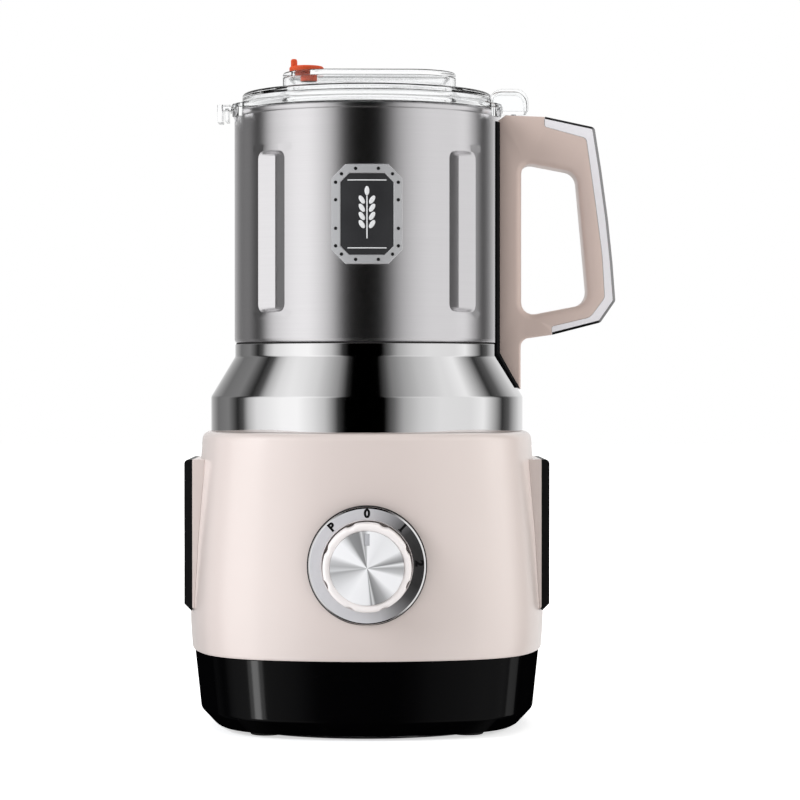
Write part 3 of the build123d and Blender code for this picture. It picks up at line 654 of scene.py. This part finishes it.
base = {
    "sideBow": 1.638, "cornerRound": 0.565, "outlineSteps": 256, "wall": 3,
    "housing": [(89.1, 39.7), (89.1, 39.95), (89.45, 40.4), (90.7, 57), (88.2, 100), (84.05, 150)],
    "housingMiddle": 90, "housingLoops": [(57, 8, 4), (40.4, 0.3, 3)],
    "deck": 150, "deckEdge": 83.5, "topRounding": 3.9, "deckRings": [(0.93, 0), (0, 74), (0, 40)],
    "window": (32, 66, 127), "windowFrom": 60, "plunger": (75.5, 2.2),
    "skirt": [(88.2, 39.6), (85, 9.5), (78, 2)], "skirtMiddle": 20, "skirtLoops": [(9.5, 0.9, 3)],
    "copies": [
        ("side_frame_right", "ventFrame_right", 0.6, 3),
        ("side_grille_right", "ventGrille_right", 0.5, 3, "black_plastic"),
        ("side_frame_left", "ventFrame_left", 0.6, 3),
        ("side_grille_left", "ventGrille_left", 0.5, 3, "black_plastic"),
        ("bottom_plate", "bottomPlate"), ("rubber_feet", "feet"), ("cord_gland", "cordGland", 0.6, 3),
        ("cup_seat", "cupSeat", 0.6, 3), ("seat_gasket", "seatGasket", 0.5, 3),
        ("drive_coupling", "driveCoupling", 0.4, 3, "black_plastic")],
}


# Distance from the drive axis to the bowed square's outline, whose side has its middle 1 away
def planReach(angle):
    t = fromSide(angle)
    reach = base["sideBow"] - base["cornerRound"]
    back = base["sideBow"] - 1.0
    centre = (sqrt(2 * reach ** 2 - back ** 2) - back) / 2
    meetX = base["sideBow"] * centre / reach
    meetY = base["sideBow"] * (centre + back) / reach - back
    if tan(t) <= meetX / meetY:
        middle, radius = Vector((0, -back)), base["sideBow"]
    else:
        middle, radius = Vector((centre, centre)), base["cornerRound"]
    along = middle.dot(Vector((sin(t), cos(t))))
    return along + sqrt(along ** 2 - middle.length_squared + radius ** 2)


# The bowed square's open shell, and its last loop of edges
def planShell(levels):
    bm = bmesh.new()
    for v in bmesh.ops.create_circle(bm, segments=base["outlineSteps"], radius=1.0)["verts"]:
        v.co *= planReach(atan2(v.co.y, v.co.x)) * levels[0][0] * mm
    return bm, raiseRing(bm, levels)


# Turns an open shell's faces away from a point inside it
def faceAway(bm, height):
    faceOut(bm)
    inside = Vector((0, 0, height * mm))
    facing = sum(f.normal.dot(f.calc_center_median() - inside) * f.calc_area() for f in bm.faces)
    if facing < 0:
        bmesh.ops.reverse_faces(bm, faces=bm.faces)


def loopAt(bm, height):
    return [e for e in bm.edges if all(abs(v.co.z - height * mm) < weldGap for v in e.verts)]


def roundLoops(bm, loops):
    for height, amount, segments in loops:
        bevelEdges(bm, loopAt(bm, height), amount, segments)


def buildHousing():
    bm, edges = planShell(base["housing"])
    for share, radius in base["deckRings"]:
        ring, edges = extrudeRing(bm, edges)
        for v in ring:
            flat = share or radius * mm / v.co.xy.length
            v.co.x *= flat
            v.co.y *= flat
    bm.normal_update()
    outer = [e for e in loopAt(bm, base["deck"]) if len(e.link_faces) == 2 and e.calc_face_angle(0) > 0.5]
    outer = [e for e in outer if min(v.co.xy.length for v in e.verts) > base["deckEdge"] * mm]
    bevelEdges(bm, outer, base["topRounding"], 6)
    roundLoops(bm, base["housingLoops"])
    across, low, high = base["window"]
    for place, normal in (((0, across, 0), (0, 1, 0)), ((0, -across, 0), (0, 1, 0)),
                          ((0, 0, low), (0, 0, 1)), ((0, 0, high), (0, 0, 1))):
        sliceAt(bm, place, normal)
    gone = []
    for face in bm.faces:
        x, y, z = face.calc_center_median()
        if abs(x) > base["windowFrom"] * mm and abs(y) < across * mm and low * mm < z < high * mm:
            gone.append(face)
    bmesh.ops.delete(bm, geom=gone, context="FACES")
    faceAway(bm, base["housingMiddle"])
    piece = placePiece("housing", bm, "base", "cream_plastic", "base_housing")
    thicken(piece, base["wall"])
    settle(piece)
    x, radius = base["plunger"]
    drill(piece, (x, 0, base["deck"]), radius, 20, 32)
    sharpen(piece, 38)


def buildSkirt():
    bm, _ = planShell(base["skirt"])
    roundLoops(bm, base["skirtLoops"])
    faceAway(bm, base["skirtMiddle"])
    piece = placePiece("skirt", bm, "base", "black_gloss", "base_skirt")
    thicken(piece, base["wall"])
    softenEdges(piece, 0.5, 3, 50)
    return piece


# Narrow lamps below the floor, which the skirt's gloss shows as upright streaks
def buildGlows(piece):
    lit = bpy.data.collections.new("skirtOnly")
    lit.objects.link(piece)
    for name, place, target, width, power in studio["glows"]:
        lamp = addLamp(name, place, target, width, power)
        lamp.data.shape = "RECTANGLE"
        lamp.data.size_y = studio["glowTall"]
        lamp.visible_camera = False
        lamp.light_linking.receiver_collection = lit


buildHousing()
buildGlows(buildSkirt())
for copied in base["copies"]:
    copySolid(*copied)
print("base done")


# Dial

dial = {
    "height": 86.3, "bezelFront": 92.6, "polished": (22.3, 27.69),
    "bezel": [(28.5, 86, 0), (28.5, 91.7, 0.1), (27.6, 92.6, 0.1), (22.4, 92.6, 0.2), (21.9, 92, 0.1),
              (21.9, 86, 0)],
    "gapShadeRing": [(29.1, 87, 0), (29.1, 90.4, 0.4), (28, 90.4, 0), (28, 87, 0)],
    "knobRadius": 21.3, "scallops": 8, "scallopRadius": 5, "scallopDepth": 0.75,
    "capRadius": 17.7, "capFront": 109.6, "capThick": 2.6,
    "knobEdge": [(0.6, 90), (0, 90.6), (0, 107.4), (0.2, 108.2), (0.7, 108.8), (1.4, 109)],
    "knobTop": [(18.3, 108.9), (17.8, 108.5), (17.8, 107), (1, 107)],
    "notch": (1.25, 6.9, 1.2, -1, 0.35, 0.2), "notchShade": (1.2, 6.85, 1.25, 0.12, 0.5, 0.1),
    "marks": [("P", -42), ("0", 0), ("1", 43), ("2", 87)], "markRadius": 25.2, "markSize": 5.6,
    "markWeight": 0.3, "markThick": 0.05, "markFoot": ((-1.1, -2.15, -0.05), (1.1, -1.6, 0.05)),
}


def toDial(bm):
    turnAbout(bm, "X", pi / 2)
    moveBy(bm, (0, 0, dial["height"]))
    return bm


# The bezel's two rounded edges are polished
def buildBezel():
    bm = turnProfile(dial["bezel"], 160)
    inner, outer = dial["polished"]
    for face in bm.faces:
        face.material_index = int(not inner * mm <= face.calc_center_median().xy.length <= outer * mm)
    piece = placePiece("bezelRing", toDial(bm), "base", "bezel_steel", "dial_bezel")
    piece.data.materials.append(surfaces["chrome"])
    # A black ring just beyond the bezel's edge, partly a gasket the bezel sits on and partly the painted
    # shade of the gap round it
    placePiece("bezelGapShade", toDial(turnProfile(dial["gapShadeRing"], 128)), "base", "black_rubber")


def scallopReach(angle):
    pitch = 2 * pi / dial["scallops"]
    offset = abs((angle % pitch) - pitch / 2)
    small = dial["scallopRadius"]
    out = dial["knobRadius"] + small - dial["scallopDepth"]
    sideways = out * sin(offset)
    if sideways >= small:
        return dial["knobRadius"]
    return min(dial["knobRadius"], out * cos(offset) - sqrt(small ** 2 - sideways ** 2))


def buildKnob():
    rings = [(lambda angle, inset=inset: scallopReach(angle) - inset, height, 0.0)
             for inset, height in dial["knobEdge"]]
    rings += circleRings(dial["knobTop"])
    bm = toDial(skinThrough(rings, 320))
    sharpen(placePiece("knob", bm, "dial", "cream_plastic", "dial_knob", finish="knobLitCream"), 40)


# The index box: half its width, ends below the disc's edge, start and end behind its front, rounding
def indexBox(half, low, high, near, far, rounding):
    top, front = dial["height"] + dial["capRadius"], dial["capFront"]
    return roundBox((-half, near - front, top - low), (half, far - front, top - high), rounding, 2)


def buildCap():
    radius, front = dial["capRadius"], dial["capFront"]
    back = front - dial["capThick"]
    profile = [(0, back, 0), (radius, back, 0), (radius, front, 0.25), (0, front, 0)]
    bm = turnProfile(profile, 160, closed=False)
    piece = placePiece("spunCap", toDial(bm), "dial", "spun_aluminium", "dial_cap")
    carve(piece, indexBox(*dial["notch"]))
    sharpen(piece, 30)
    # A mid-grey box on the notch's floor: the painted shade of the index notch
    bm = indexBox(*dial["notchShade"])
    sharpen(placePiece("indexNotchShade", bm, "dial", "spun_aluminium", finish="notchShadeGrey"), 40)


def buildMarks():
    for label, angle in dial["marks"]:
        curve = bpy.data.curves.new("mark", "FONT")
        curve.body = label
        curve.size = dial["markSize"] * mm
        curve.align_x = "CENTER"
        curve.align_y = "CENTER"
        curve.extrude = dial["markThick"] * mm
        curve.offset = dial["markWeight"] * mm
        curve.resolution_u = 6
        letter = addObject("mark", curve)
        bpy.context.view_layer.update()
        mesh = evaluatedMesh(letter)
        bpy.data.objects.remove(letter)
        bm = bmesh.new()
        bm.from_mesh(mesh)
        bpy.data.meshes.remove(mesh)
        bmesh.ops.remove_doubles(bm, verts=bm.verts, dist=fineGap)
        if label == "1":
            mergeInto(bm, roundBox(*dial["markFoot"]))
        moveBy(bm, (0, dial["markRadius"], dial["bezelFront"]))
        turnAbout(bm, "Z", -radians(angle))
        piece = placePiece("dialMark_" + label, toDial(bm), "base", "black_plastic", finish="inkBlack")
        piece.data.shade_flat()


buildBezel()
buildKnob()
buildCap()
buildMarks()
print("dial done")


# Cup

cup = {
    "radius": 68, "wall": 1.2, "low": 194.7, "high": 313, "columns": 240, "middle": 250,
    "foot": [(-1.5, 0), (-0.95, 0.25), (-0.35, 0.9), (0, 2), (0, 8)],
    "rim": [(0, 6), (0, 3.2), (0.45, 2.6), (0.7, 1.8), (0.7, 0.9), (0.5, 0.3), (0.1, 0)],
    "fluteAngles": (-135, -45, 45, 135), "fluteHalf": 9.6, "fluteLow": 209.7, "fluteHigh": 290.2,
    "fluteDepth": 3.3, "fluteCorner": 4.2, "fluteLead": (3, 3.8), "fluteColumns": 5,
    "endSteps": (0, 0.35, 0.9, 1.6, 2.4, 3.3, 4.2, 25), "endSlope": 2.2,
    "floor": [(14, 199, 0), (66.9, 199, 0), (66.9, 200.6, 0), (14, 200.6, 0.4)],
    "collar": [(80, 150.1, 0.3), (80, 167.5, 0.55), (67.7, 188, 0.5), (67.7, 194.2, 0.35),
               (66.2, 194.2, 0), (66.2, 187.6, 0), (78.5, 166.9, 0), (78.5, 150.1, 0.3)],
    "copies": [
        ("cup_holder", "cupHolder", 0.5), ("bearing_housing", "bearingHousing"),
        ("lower_blade", "lowerBlade"), ("upper_blade", "upperBlade"), ("blade_nut", "bladeNut"),
        ("driven_coupling", "drivenCoupling")],
}


# How wide and how deep a flute is at a height, as shares of its full size
def fluteShare(z):
    inside = min(z - cup["fluteLow"], cup["fluteHigh"] - z)
    corner, half = cup["fluteCorner"], cup["fluteHalf"]
    if inside <= -cup["fluteLead"][0]:
        return 1.0, 0.0
    if inside <= 0:
        return (half - corner) / half, 0.0
    width = half
    if inside < corner:
        width -= corner - sqrt(corner ** 2 - (corner - inside) ** 2)
    slope = min(1.0, inside / cup["endSlope"])
    return width / half, slope * slope * (3 - 2 * slope)


# Moves the wall's columns onto a flute's outline, and pushes them in between
def pressFlutes(bm):
    spread = cup["fluteColumns"] * (2 * pi / cup["columns"])
    half = cup["fluteHalf"] / cup["radius"]
    for v in bm.verts:
        share, push = fluteShare(v.co.z / mm)
        angle = atan2(v.co.y, v.co.x)
        for turn in map(radians, cup["fluteAngles"]):
            offset = (angle - turn + pi) % (2 * pi) - pi
            if abs(offset) > 2 * spread:
                continue
            radius = v.co.xy.length
            t = min(1.0, abs(offset) / spread)
            edge = half * share
            if abs(offset) <= spread + 1e-4:
                moved = copysign(edge * t, offset)
            else:
                fade = (abs(offset) - spread) / spread
                moved = offset + copysign((edge - spread) * (1 - fade), offset)
            rim = Vector((radius * cos(edge), radius * sin(edge)))
            root = Vector((radius - cup["fluteDepth"] * mm, 0))
            plain = Vector((radius * cos(moved), radius * sin(moved)))
            if t < 1.0 and push:
                facet = root.lerp(Vector((rim.x, copysign(rim.y, offset))), t)
                plain = plain.lerp(facet, push)
            v.co.x = plain.x * cos(turn) - plain.y * sin(turn)
            v.co.y = plain.x * sin(turn) + plain.y * cos(turn)
            break


def buildCupWall():
    low, high, radius = cup["low"], cup["high"], cup["radius"]
    lead, leadIn = cup["fluteLead"]
    rows = [(radius + out, low + up) for out, up in cup["foot"]]
    rows += [(radius, cup["fluteLow"] + step) for step in (-leadIn, -lead, *cup["endSteps"])]
    rows += [(radius, cup["fluteHigh"] - step) for step in (*reversed(cup["endSteps"]), -lead, -leadIn)]
    rows += [(radius + out, high - down) for out, down in cup["rim"]]
    bm = bmesh.new()
    bmesh.ops.create_circle(bm, segments=cup["columns"], radius=rows[0][0] * mm)
    turnAbout(bm, "Z", radians(cup["fluteAngles"][2]) - pi / 2)
    raiseRing(bm, rows)
    pressFlutes(bm)
    faceAway(bm, cup["middle"])
    piece = placePiece("cupWall", bm, "cup", "brushed_steel", "cup_body")
    thicken(piece, cup["wall"])
    softenEdges(piece, 0.28, 2, 16)


def buildTurned():
    floor, collar = turnProfile(cup["floor"], 160), turnProfile(cup["collar"], 200)
    sharpen(placePiece("cupFloor", floor, "cup", "brushed_steel"), 35)
    sharpen(placePiece("flaredCollar", collar, "cup", "chrome", "cup_collar"), 28)


buildCupWall()
buildTurned()
for copied in cup["copies"]:
    copySolid(*copied)
print("cup done")


# Plaque

plaque = {
    "width": 35, "height": 49, "corner": 7, "middle": 257.5, "radius": 68.05, "thick": 1.1,
    "border": 4.2, "edge": 0.4, "step": 0.3, "recess": 0.45, "wall": 0.6, "columns": range(-16, 17, 2),
    "rivetRadius": 0.85, "rivets": [(5.5, 22.3), (15.3, 7), (15.3, 15.6), (12.4, 19.7)],
    "grain": (1.15, 0.25, 2), "grainRows": (-5, -1, 3, 7), "grainOut": 2.5, "grainTurn": 0.55,
    "grainTop": 11.4, "sunk": 0.1,
    "bars": [(-0.3, -12, 0.3, 9, 0.2), (-9.5, 16.4, 9.5, 16.9, 0.12), (-9.5, -16.9, 9.5, -16.4, 0.12)],
}


# Bends a flat shape, drawn in x and y, round the cup's front
def bendRound(bm):
    radius = plaque["radius"] * mm
    for v in bm.verts:
        turn = v.co.x / radius
        reach = radius + v.co.z
        v.co = Vector((reach * sin(turn), -reach * cos(turn), v.co.y + plaque["middle"] * mm))


def buildPlaque():
    x, y = plaque["width"] / 2, plaque["height"] / 2
    cut, edge = plaque["corner"], plaque["edge"]
    corners = [(x, y - cut), (x - cut, y), (cut - x, y), (-x, y - cut),
               (-x, cut - y), (cut - x, -y), (x - cut, -y), (x, cut - y)]
    bm = bmesh.new()
    panel = [bm.faces.new([bm.verts.new((px * mm, py * mm, plaque["thick"] * mm)) for px, py in corners])]
    bm.normal_update()
    rim = list(bm.verts)
    for step in (edge, plaque["border"] - edge, plaque["step"]):
        bmesh.ops.inset_region(bm, faces=panel, thickness=step * mm, use_boundary=True, use_even_offset=True)
    moveBy(bm, (0, 0, -edge), rim)
    moveBy(bm, (0, 0, -plaque["recess"]), list(panel[0].verts))
    panel[0].material_index = 1
    for column in plaque["columns"]:
        sliceAt(bm, (column, 0, 0), (1, 0, 0))
    bendRound(bm)
    faceOut(bm)
    if sum(f.normal.y for f in bm.faces) > 0:
        bmesh.ops.reverse_faces(bm, faces=bm.faces)
    piece = placePiece("plaqueFace", bm, "cup", "plaque_metal", "plaque")
    piece.data.materials.append(surfaces["panelDark"])
    thicken(piece, plaque["wall"])
    settle(piece)
    sharpen(piece, 25)


def smallDome(bm, place, radius, flat, stretch=1.0, turn=0.0):
    made = bmesh.ops.create_uvsphere(bm, u_segments=16, v_segments=8, radius=radius * mm)["verts"]
    bmesh.ops.scale(bm, vec=(1, stretch, flat), verts=made)
    turnAbout(bm, "Z", turn, made)
    moveBy(bm, place, made)


def buildRivets():
    bm = bmesh.new()
    for sideX, sideY in ((-1, -1), (-1, 1), (1, -1), (1, 1)):
        for x, y in plaque["rivets"]:
            smallDome(bm, (sideX * x, sideY * y, plaque["thick"]), plaque["rivetRadius"], 0.5)
    bendRound(bm)
    placePiece("plaqueRivets", bm, "cup", "black_plastic")


# A plain ear of grain between two rules
def buildMotif():
    bm = bmesh.new()
    face = plaque["thick"] - plaque["recess"]
    for row in plaque["grainRows"]:
        for side in (-1, 1):
            place = (side * plaque["grainOut"], row, face)
            smallDome(bm, place, *plaque["grain"], -side * plaque["grainTurn"])
    smallDome(bm, (0, plaque["grainTop"], face), *plaque["grain"])
    for left, low, right, high, rise in plaque["bars"]:
        bar = roundBox((left, low, face - plaque["sunk"]), (right, high, face + rise))
        if right > 5:
            lengthwise = [e for e in bar.edges if abs(e.verts[0].co.x - e.verts[1].co.x) > 5 * mm]
            bmesh.ops.subdivide_edges(bar, edges=lengthwise, cuts=12)
        mergeInto(bm, bar)
    bendRound(bm)
    faceOut(bm)
    sharpen(placePiece("plaqueMotif", bm, "cup", "plaque_metal", finish="enamelWhite"), 40)


buildPlaque()
buildRivets()
buildMotif()
print("plaque done")


# Handle

# Corners are (x, z, rounding); the trim covers the outline's right side
handle = {
    "half": 12, "edge": 1.3, "lip": 3.2, "lipShare": 1.3, "gap": 0.12, "legShare": 0.35,
    "trimChamfer": 1.9, "trimShare": 0.85, "trimShares": (0.68, 0.8, 0.8, 0.8, 0.8, 0.72, 0.68),
    "leg": [(94.6, 199.05, 0.3), (78.7, 196.8, 4.5), (78.7, 170.6, 0.3), (77, 173, 1),
            (66.95, 189.6, 1.5), (66.95, 308.6, 0.4), (70.8, 311.4, 0.8), (90.9, 310.65, 0.3)],
    "trimOuter": [(90.9, 310.65, 0.3), (116.4, 305.2, 2.4), (119.9, 283, 100), (123.3, 258, 100),
                  (125.6, 236, 100), (127.1, 216.5, 2.6), (119.4, 205.4, 2.6), (94.6, 199.05, 0.3)],
    "trimInner": [(94.6, 203.2, 1), (114.3, 207.9, 6), (121.7, 218, 5), (120.4, 240, 100),
                  (117, 266, 100), (112.2, 299.7, 3), (90.9, 305.6, 1.2)],
    "opening": [(79, 208.4, 6), (113.4, 215, 7.5), (107.2, 282.2, 7), (79, 287.6, 5)],
}


# Points of an outline with round corners; each of its sides is moved outwards by its own amount
def roundOutline(corners, grows, steps=5):
    spots = [Vector((x, z)) for x, z, _ in corners]
    area = sum(a.x * b.y - b.x * a.y for a, b in zip(spots, spots[1:] + spots[:1]))
    side = copysign(1, area)
    loop = []
    for i, here in enumerate(spots):
        into = (here - spots[i - 1]).normalized()
        out = (spots[(i + 1) % len(spots)] - here).normalized()
        turn = atan2(into.x * out.y - into.y * out.x, into.dot(out))
        away = Vector((into.y, -into.x)) * side
        awayNext = Vector((out.y, -out.x)) * side
        before, after = grows[i - 1], grows[i]
        slide = (after - before * away.dot(awayNext)) / into.dot(awayNext) if abs(turn) > 0.01 else 0.0
        corner = here + away * before + into * slide
        convex = copysign(1, turn * side)
        radius = max(0.02, corners[i][2] + (before + after) / 2 * convex)
        start = corner - into * radius * tan(abs(turn) / 2)
        centre = start - away * convex * radius
        for step in range(steps + 1):
            arm = start - centre
            arm.rotate(Matrix.Rotation(turn * step / steps, 2))
            loop.append(centre + arm)
    return loop


# Skins one outline's rings together along y; each ring is (y, how far its sides are moved outwards)
def skinAcross(bm, corners, rings):
    outlines = []
    for y, grow in rings:
        grows = grow if isinstance(grow, list) else [grow] * len(corners)
        outlines.append([Vector((p.x * mm, y * mm, p.y * mm)) for p in roundOutline(corners, grows)])
    dots = [bm.verts.new(point) for point in outlines[0]]
    first = edges = [bm.edges.new(pair) for pair in zip(dots, dots[1:] + dots[:1])]
    for before, after in zip(outlines, outlines[1:]):
        ring, edges = extrudeRing(bm, edges)
        for v in ring:
            v.co = after[min(range(len(before)), key=lambda i: (before[i] - v.co).length)]
    return first, edges


def fillEnds(bm, ends):
    for end in ends:
        bmesh.ops.triangle_fill(bm, use_beauty=True, use_dissolve=False, edges=end)
    faceOut(bm)


def buildHandle():
    half, edge, lip = handle["half"], handle["edge"], handle["lip"]
    corners = handle["leg"] + handle["trimInner"][::-1]
    shares = [1.0] * 2 + [handle["legShare"]] * (len(corners) - 2)
    outside, opening = [], []
    for t in quarterTurn:
        rise, inset = 1 - cos(t), 1 - sin(t)
        outside.append((-half + edge * rise, [-edge * inset * share - handle["gap"] for share in shares]))
        opening.append((-half + handle["lipShare"] * lip * rise, lip * inset))
    mirrored = [rings + [(-y, grow) for y, grow in reversed(rings)] for rings in (outside, opening)]
    bm = bmesh.new()
    ends = [skinAcross(bm, *pair) for pair in zip((corners, handle["opening"]), mirrored)]
    fillEnds(bm, [outer + inner for outer, inner in zip(*ends)])
    piece = placePiece("handleGrip", bm, "cup", "taupe_plastic", "handle_body")
    sharpen(piece, 34)
    return piece


def buildTrim():
    half, chamfer = handle["half"], handle["trimChamfer"]
    corners = handle["trimOuter"] + handle["trimInner"]
    inset = [-chamfer * share for share in handle["trimShares"]] + [0.0] * (len(handle["trimInner"]) + 1)
    straight = half - handle["trimShare"] * chamfer
    bm = bmesh.new()
    fillEnds(bm, skinAcross(bm, corners, [(-half, inset), (-straight, 0.0), (straight, 0.0), (half, inset)]))
    for face in bm.faces:
        face.material_index = int(abs(face.normal.y) < 0.95)
    piece = placePiece("handleTrim", bm, "cup", "chrome", "handle_trim", finish="trimSilver")
    piece.data.materials.append(surfaces["trimEdge"])
    softenEdges(piece, 0.2, 2, 34)
    return piece


# The bracket's near-black, unreflecting finish is the painted shade of the gap between cup and handle
gapShadeBracket = copySolid("handle_bracket", "handleGapShade", 0.2, 2, finish="gapShadeBlack")
# Kept out of the cup's reflections, whose brushing would smear them into a dark band
for piece in (buildHandle(), buildTrim(), gapShadeBracket, frame["nodes"]["handle_screws"],
              frame["nodes"]["interlock_rod"]):
    piece.visible_glossy = False
print("handle done")


# Lid

# Rim points are (radius, height); boxes are (low corner, high corner, rounding)
lid = {
    "step": 322.5, "top": 331.5, "wall": 2.6, "half": 43.9, "corner": 24, "shift": 1.2, "edge": 1.2,
    "foot": 0.8,
    "rim": [(62.6, 322.5), (63.4, 322.2), (63.9, 321.5), (64, 320.7), (64, 317), (64.3, 316.5),
            (64.9, 316.3), (69.3, 316.3), (69.8, 316.1), (70, 315.6), (70, 313.8), (69.8, 313.3),
            (69.4, 313.2), (66, 313.2), (66, 311.2), (62.7, 311.2), (62.7, 304.4), (62.3, 304),
            (60.9, 304), (60.6, 304.4), (61, 318.6), (60.6, 319.5), (59.8, 319.9)],
    "hood": ((62.6, -11, 313.3), (82.5, 11, 324.8)), "hoodRound": 6.5, "hoodWall": 1.5,
    "hookAngles": (-24, 204, 90),
    "hook": [((70.4, -4.5, 308.8), (72.6, 4.5, 315.6), 0.5), ((69.2, -4.5, 313.5), (72, 4.5, 315.6), 0.4)],
    "lug": [((-76.6, -8, 307.8), (-73.6, 8, 317), 0.8),
            ((-74.4, -8, 313.6), (-69.2, 8, 316.8), 0.6),
            ((-72.6, -8, 308.4), (-70.6, 8, 315), 0.5)],
    "plug": (-29.4, -22), "plugRadius": 4.4, "plugGap": 0.4,
    "plugStem": [(0, 326.7, 0), (4.2, 326.7, 0.6), (4.2, 331.3, 0), (0, 331.3, 0)],
    "plugCap": [(0, 331.5, 0), (8.6, 331.5, 0.2), (8.8, 334.8, 1.3), (0, 334.9, 0)], "capShift": -1.2,
    "plugTab": ((-9.1, -3.2, 332.5), (-5.9, 3.2, 338.4), 1.1, 4),
}


# Reach of the raised middle's rounded square, moved outwards by grow
def plateauReach(grow):
    half = lid["half"] + grow
    corner = max(0.5, lid["corner"] + grow)
    inner = half - corner

    def reach(angle):
        t = fromSide(angle)
        if half * tan(t) <= inner:
            return half / cos(t)
        along = inner * (cos(t) + sin(t))
        return along + sqrt(corner ** 2 - (inner * (cos(t) - sin(t))) ** 2)

    return reach


# The plateau's rings, from the middle out and down to the step, for one side of the wall
def plateauRings(grow, top, step, edge):
    foot = lid["foot"]
    rings = [(grow - edge * (1 - sin(t)), top - edge * (1 - cos(t))) for t in quarterTurn]
    rings += [(grow + foot * (1 - cos(t)), step + foot * (1 - sin(t))) for t in quarterTurn[::2]]
    return [(plateauReach(out), height, lid["shift"]) for out, height in rings]


def buildLid():
    wall, top, step = lid["wall"], lid["top"], lid["step"]
    rings = plateauRings(0.0, top, step, lid["edge"]) + circleRings(lid["rim"])
    rings += reversed(plateauRings(-wall, top - wall, step - wall, lid["foot"]))
    piece = placePiece("lidShell", skinThrough(rings, 240), "lid", "clear_plastic", "lid")
    drill(piece, (*lid["plug"], top), lid["plugRadius"] + lid["plugGap"], 8, 48)
    sharpen(piece, 35)
    return piece


# An open box of thin wall; only the long edges across its top are well rounded
def buildHood():
    bm = roundBox(*lid["hood"])
    bmesh.ops.delete(bm, geom=[f for f in bm.faces if f.normal.z < -0.5], context="FACES")
    tops = [e for e in bm.edges if all(v.co.z > 320 * mm for v in e.verts)]
    across = [e for e in tops if abs(e.verts[0].co.y - e.verts[1].co.y) > 5 * mm]
    bevelEdges(bm, across, lid["hoodRound"], 7)
    faceOut(bm)
    piece = placePiece("lidHood", bm, "lid", "clear_plastic")
    thicken(piece, lid["hoodWall"])
    softenEdges(piece, 0.6, 3, 40)
    return piece


def buildHooks():
    bm = bmesh.new()
    for angle in lid["hookAngles"]:
        hook = joinBoxes(lid["hook"])
        turnAbout(hook, "Z", radians(angle))
        mergeInto(bm, hook)
    made = [placePiece("lidHooks", bm, "lid", "clear_plastic"),
            placePiece("lidLug", joinBoxes(lid["lug"]), "lid", "clear_plastic")]
    for piece in made:
        sharpen(piece, 35)
    return made


def buildPlug():
    x, y = lid["plug"]
    bm = turnProfile(lid["plugStem"], 64, closed=False)
    cap = turnProfile(lid["plugCap"], 96, closed=False)
    moveBy(cap, (lid["capShift"], 0, 0))
    mergeInto(bm, cap)
    mergeInto(bm, roundBox(*lid["plugTab"]))
    moveBy(bm, (x, y, 0))
    sharpen(placePiece("ventPlug", bm, "plug", "orange_silicone", "vent_plug"), 40)


# Light passes the clear pieces, as the lamps' shadows don't follow refraction
for piece in (buildLid(), buildHood(), *buildHooks()):
    piece.visible_shadow = False
buildPlug()
copySolid("lid_seal", "lidSeal", 0.6, 3)
print("lid done")


# Solids that stay as they are

for part in subparts:
    finishes = frame["nodes"][part["node"]].data.materials
    if not finishes:
        finishes.append(None)
    for i in range(len(finishes)):
        finishes[i] = surfaces[part["material_slot"]]
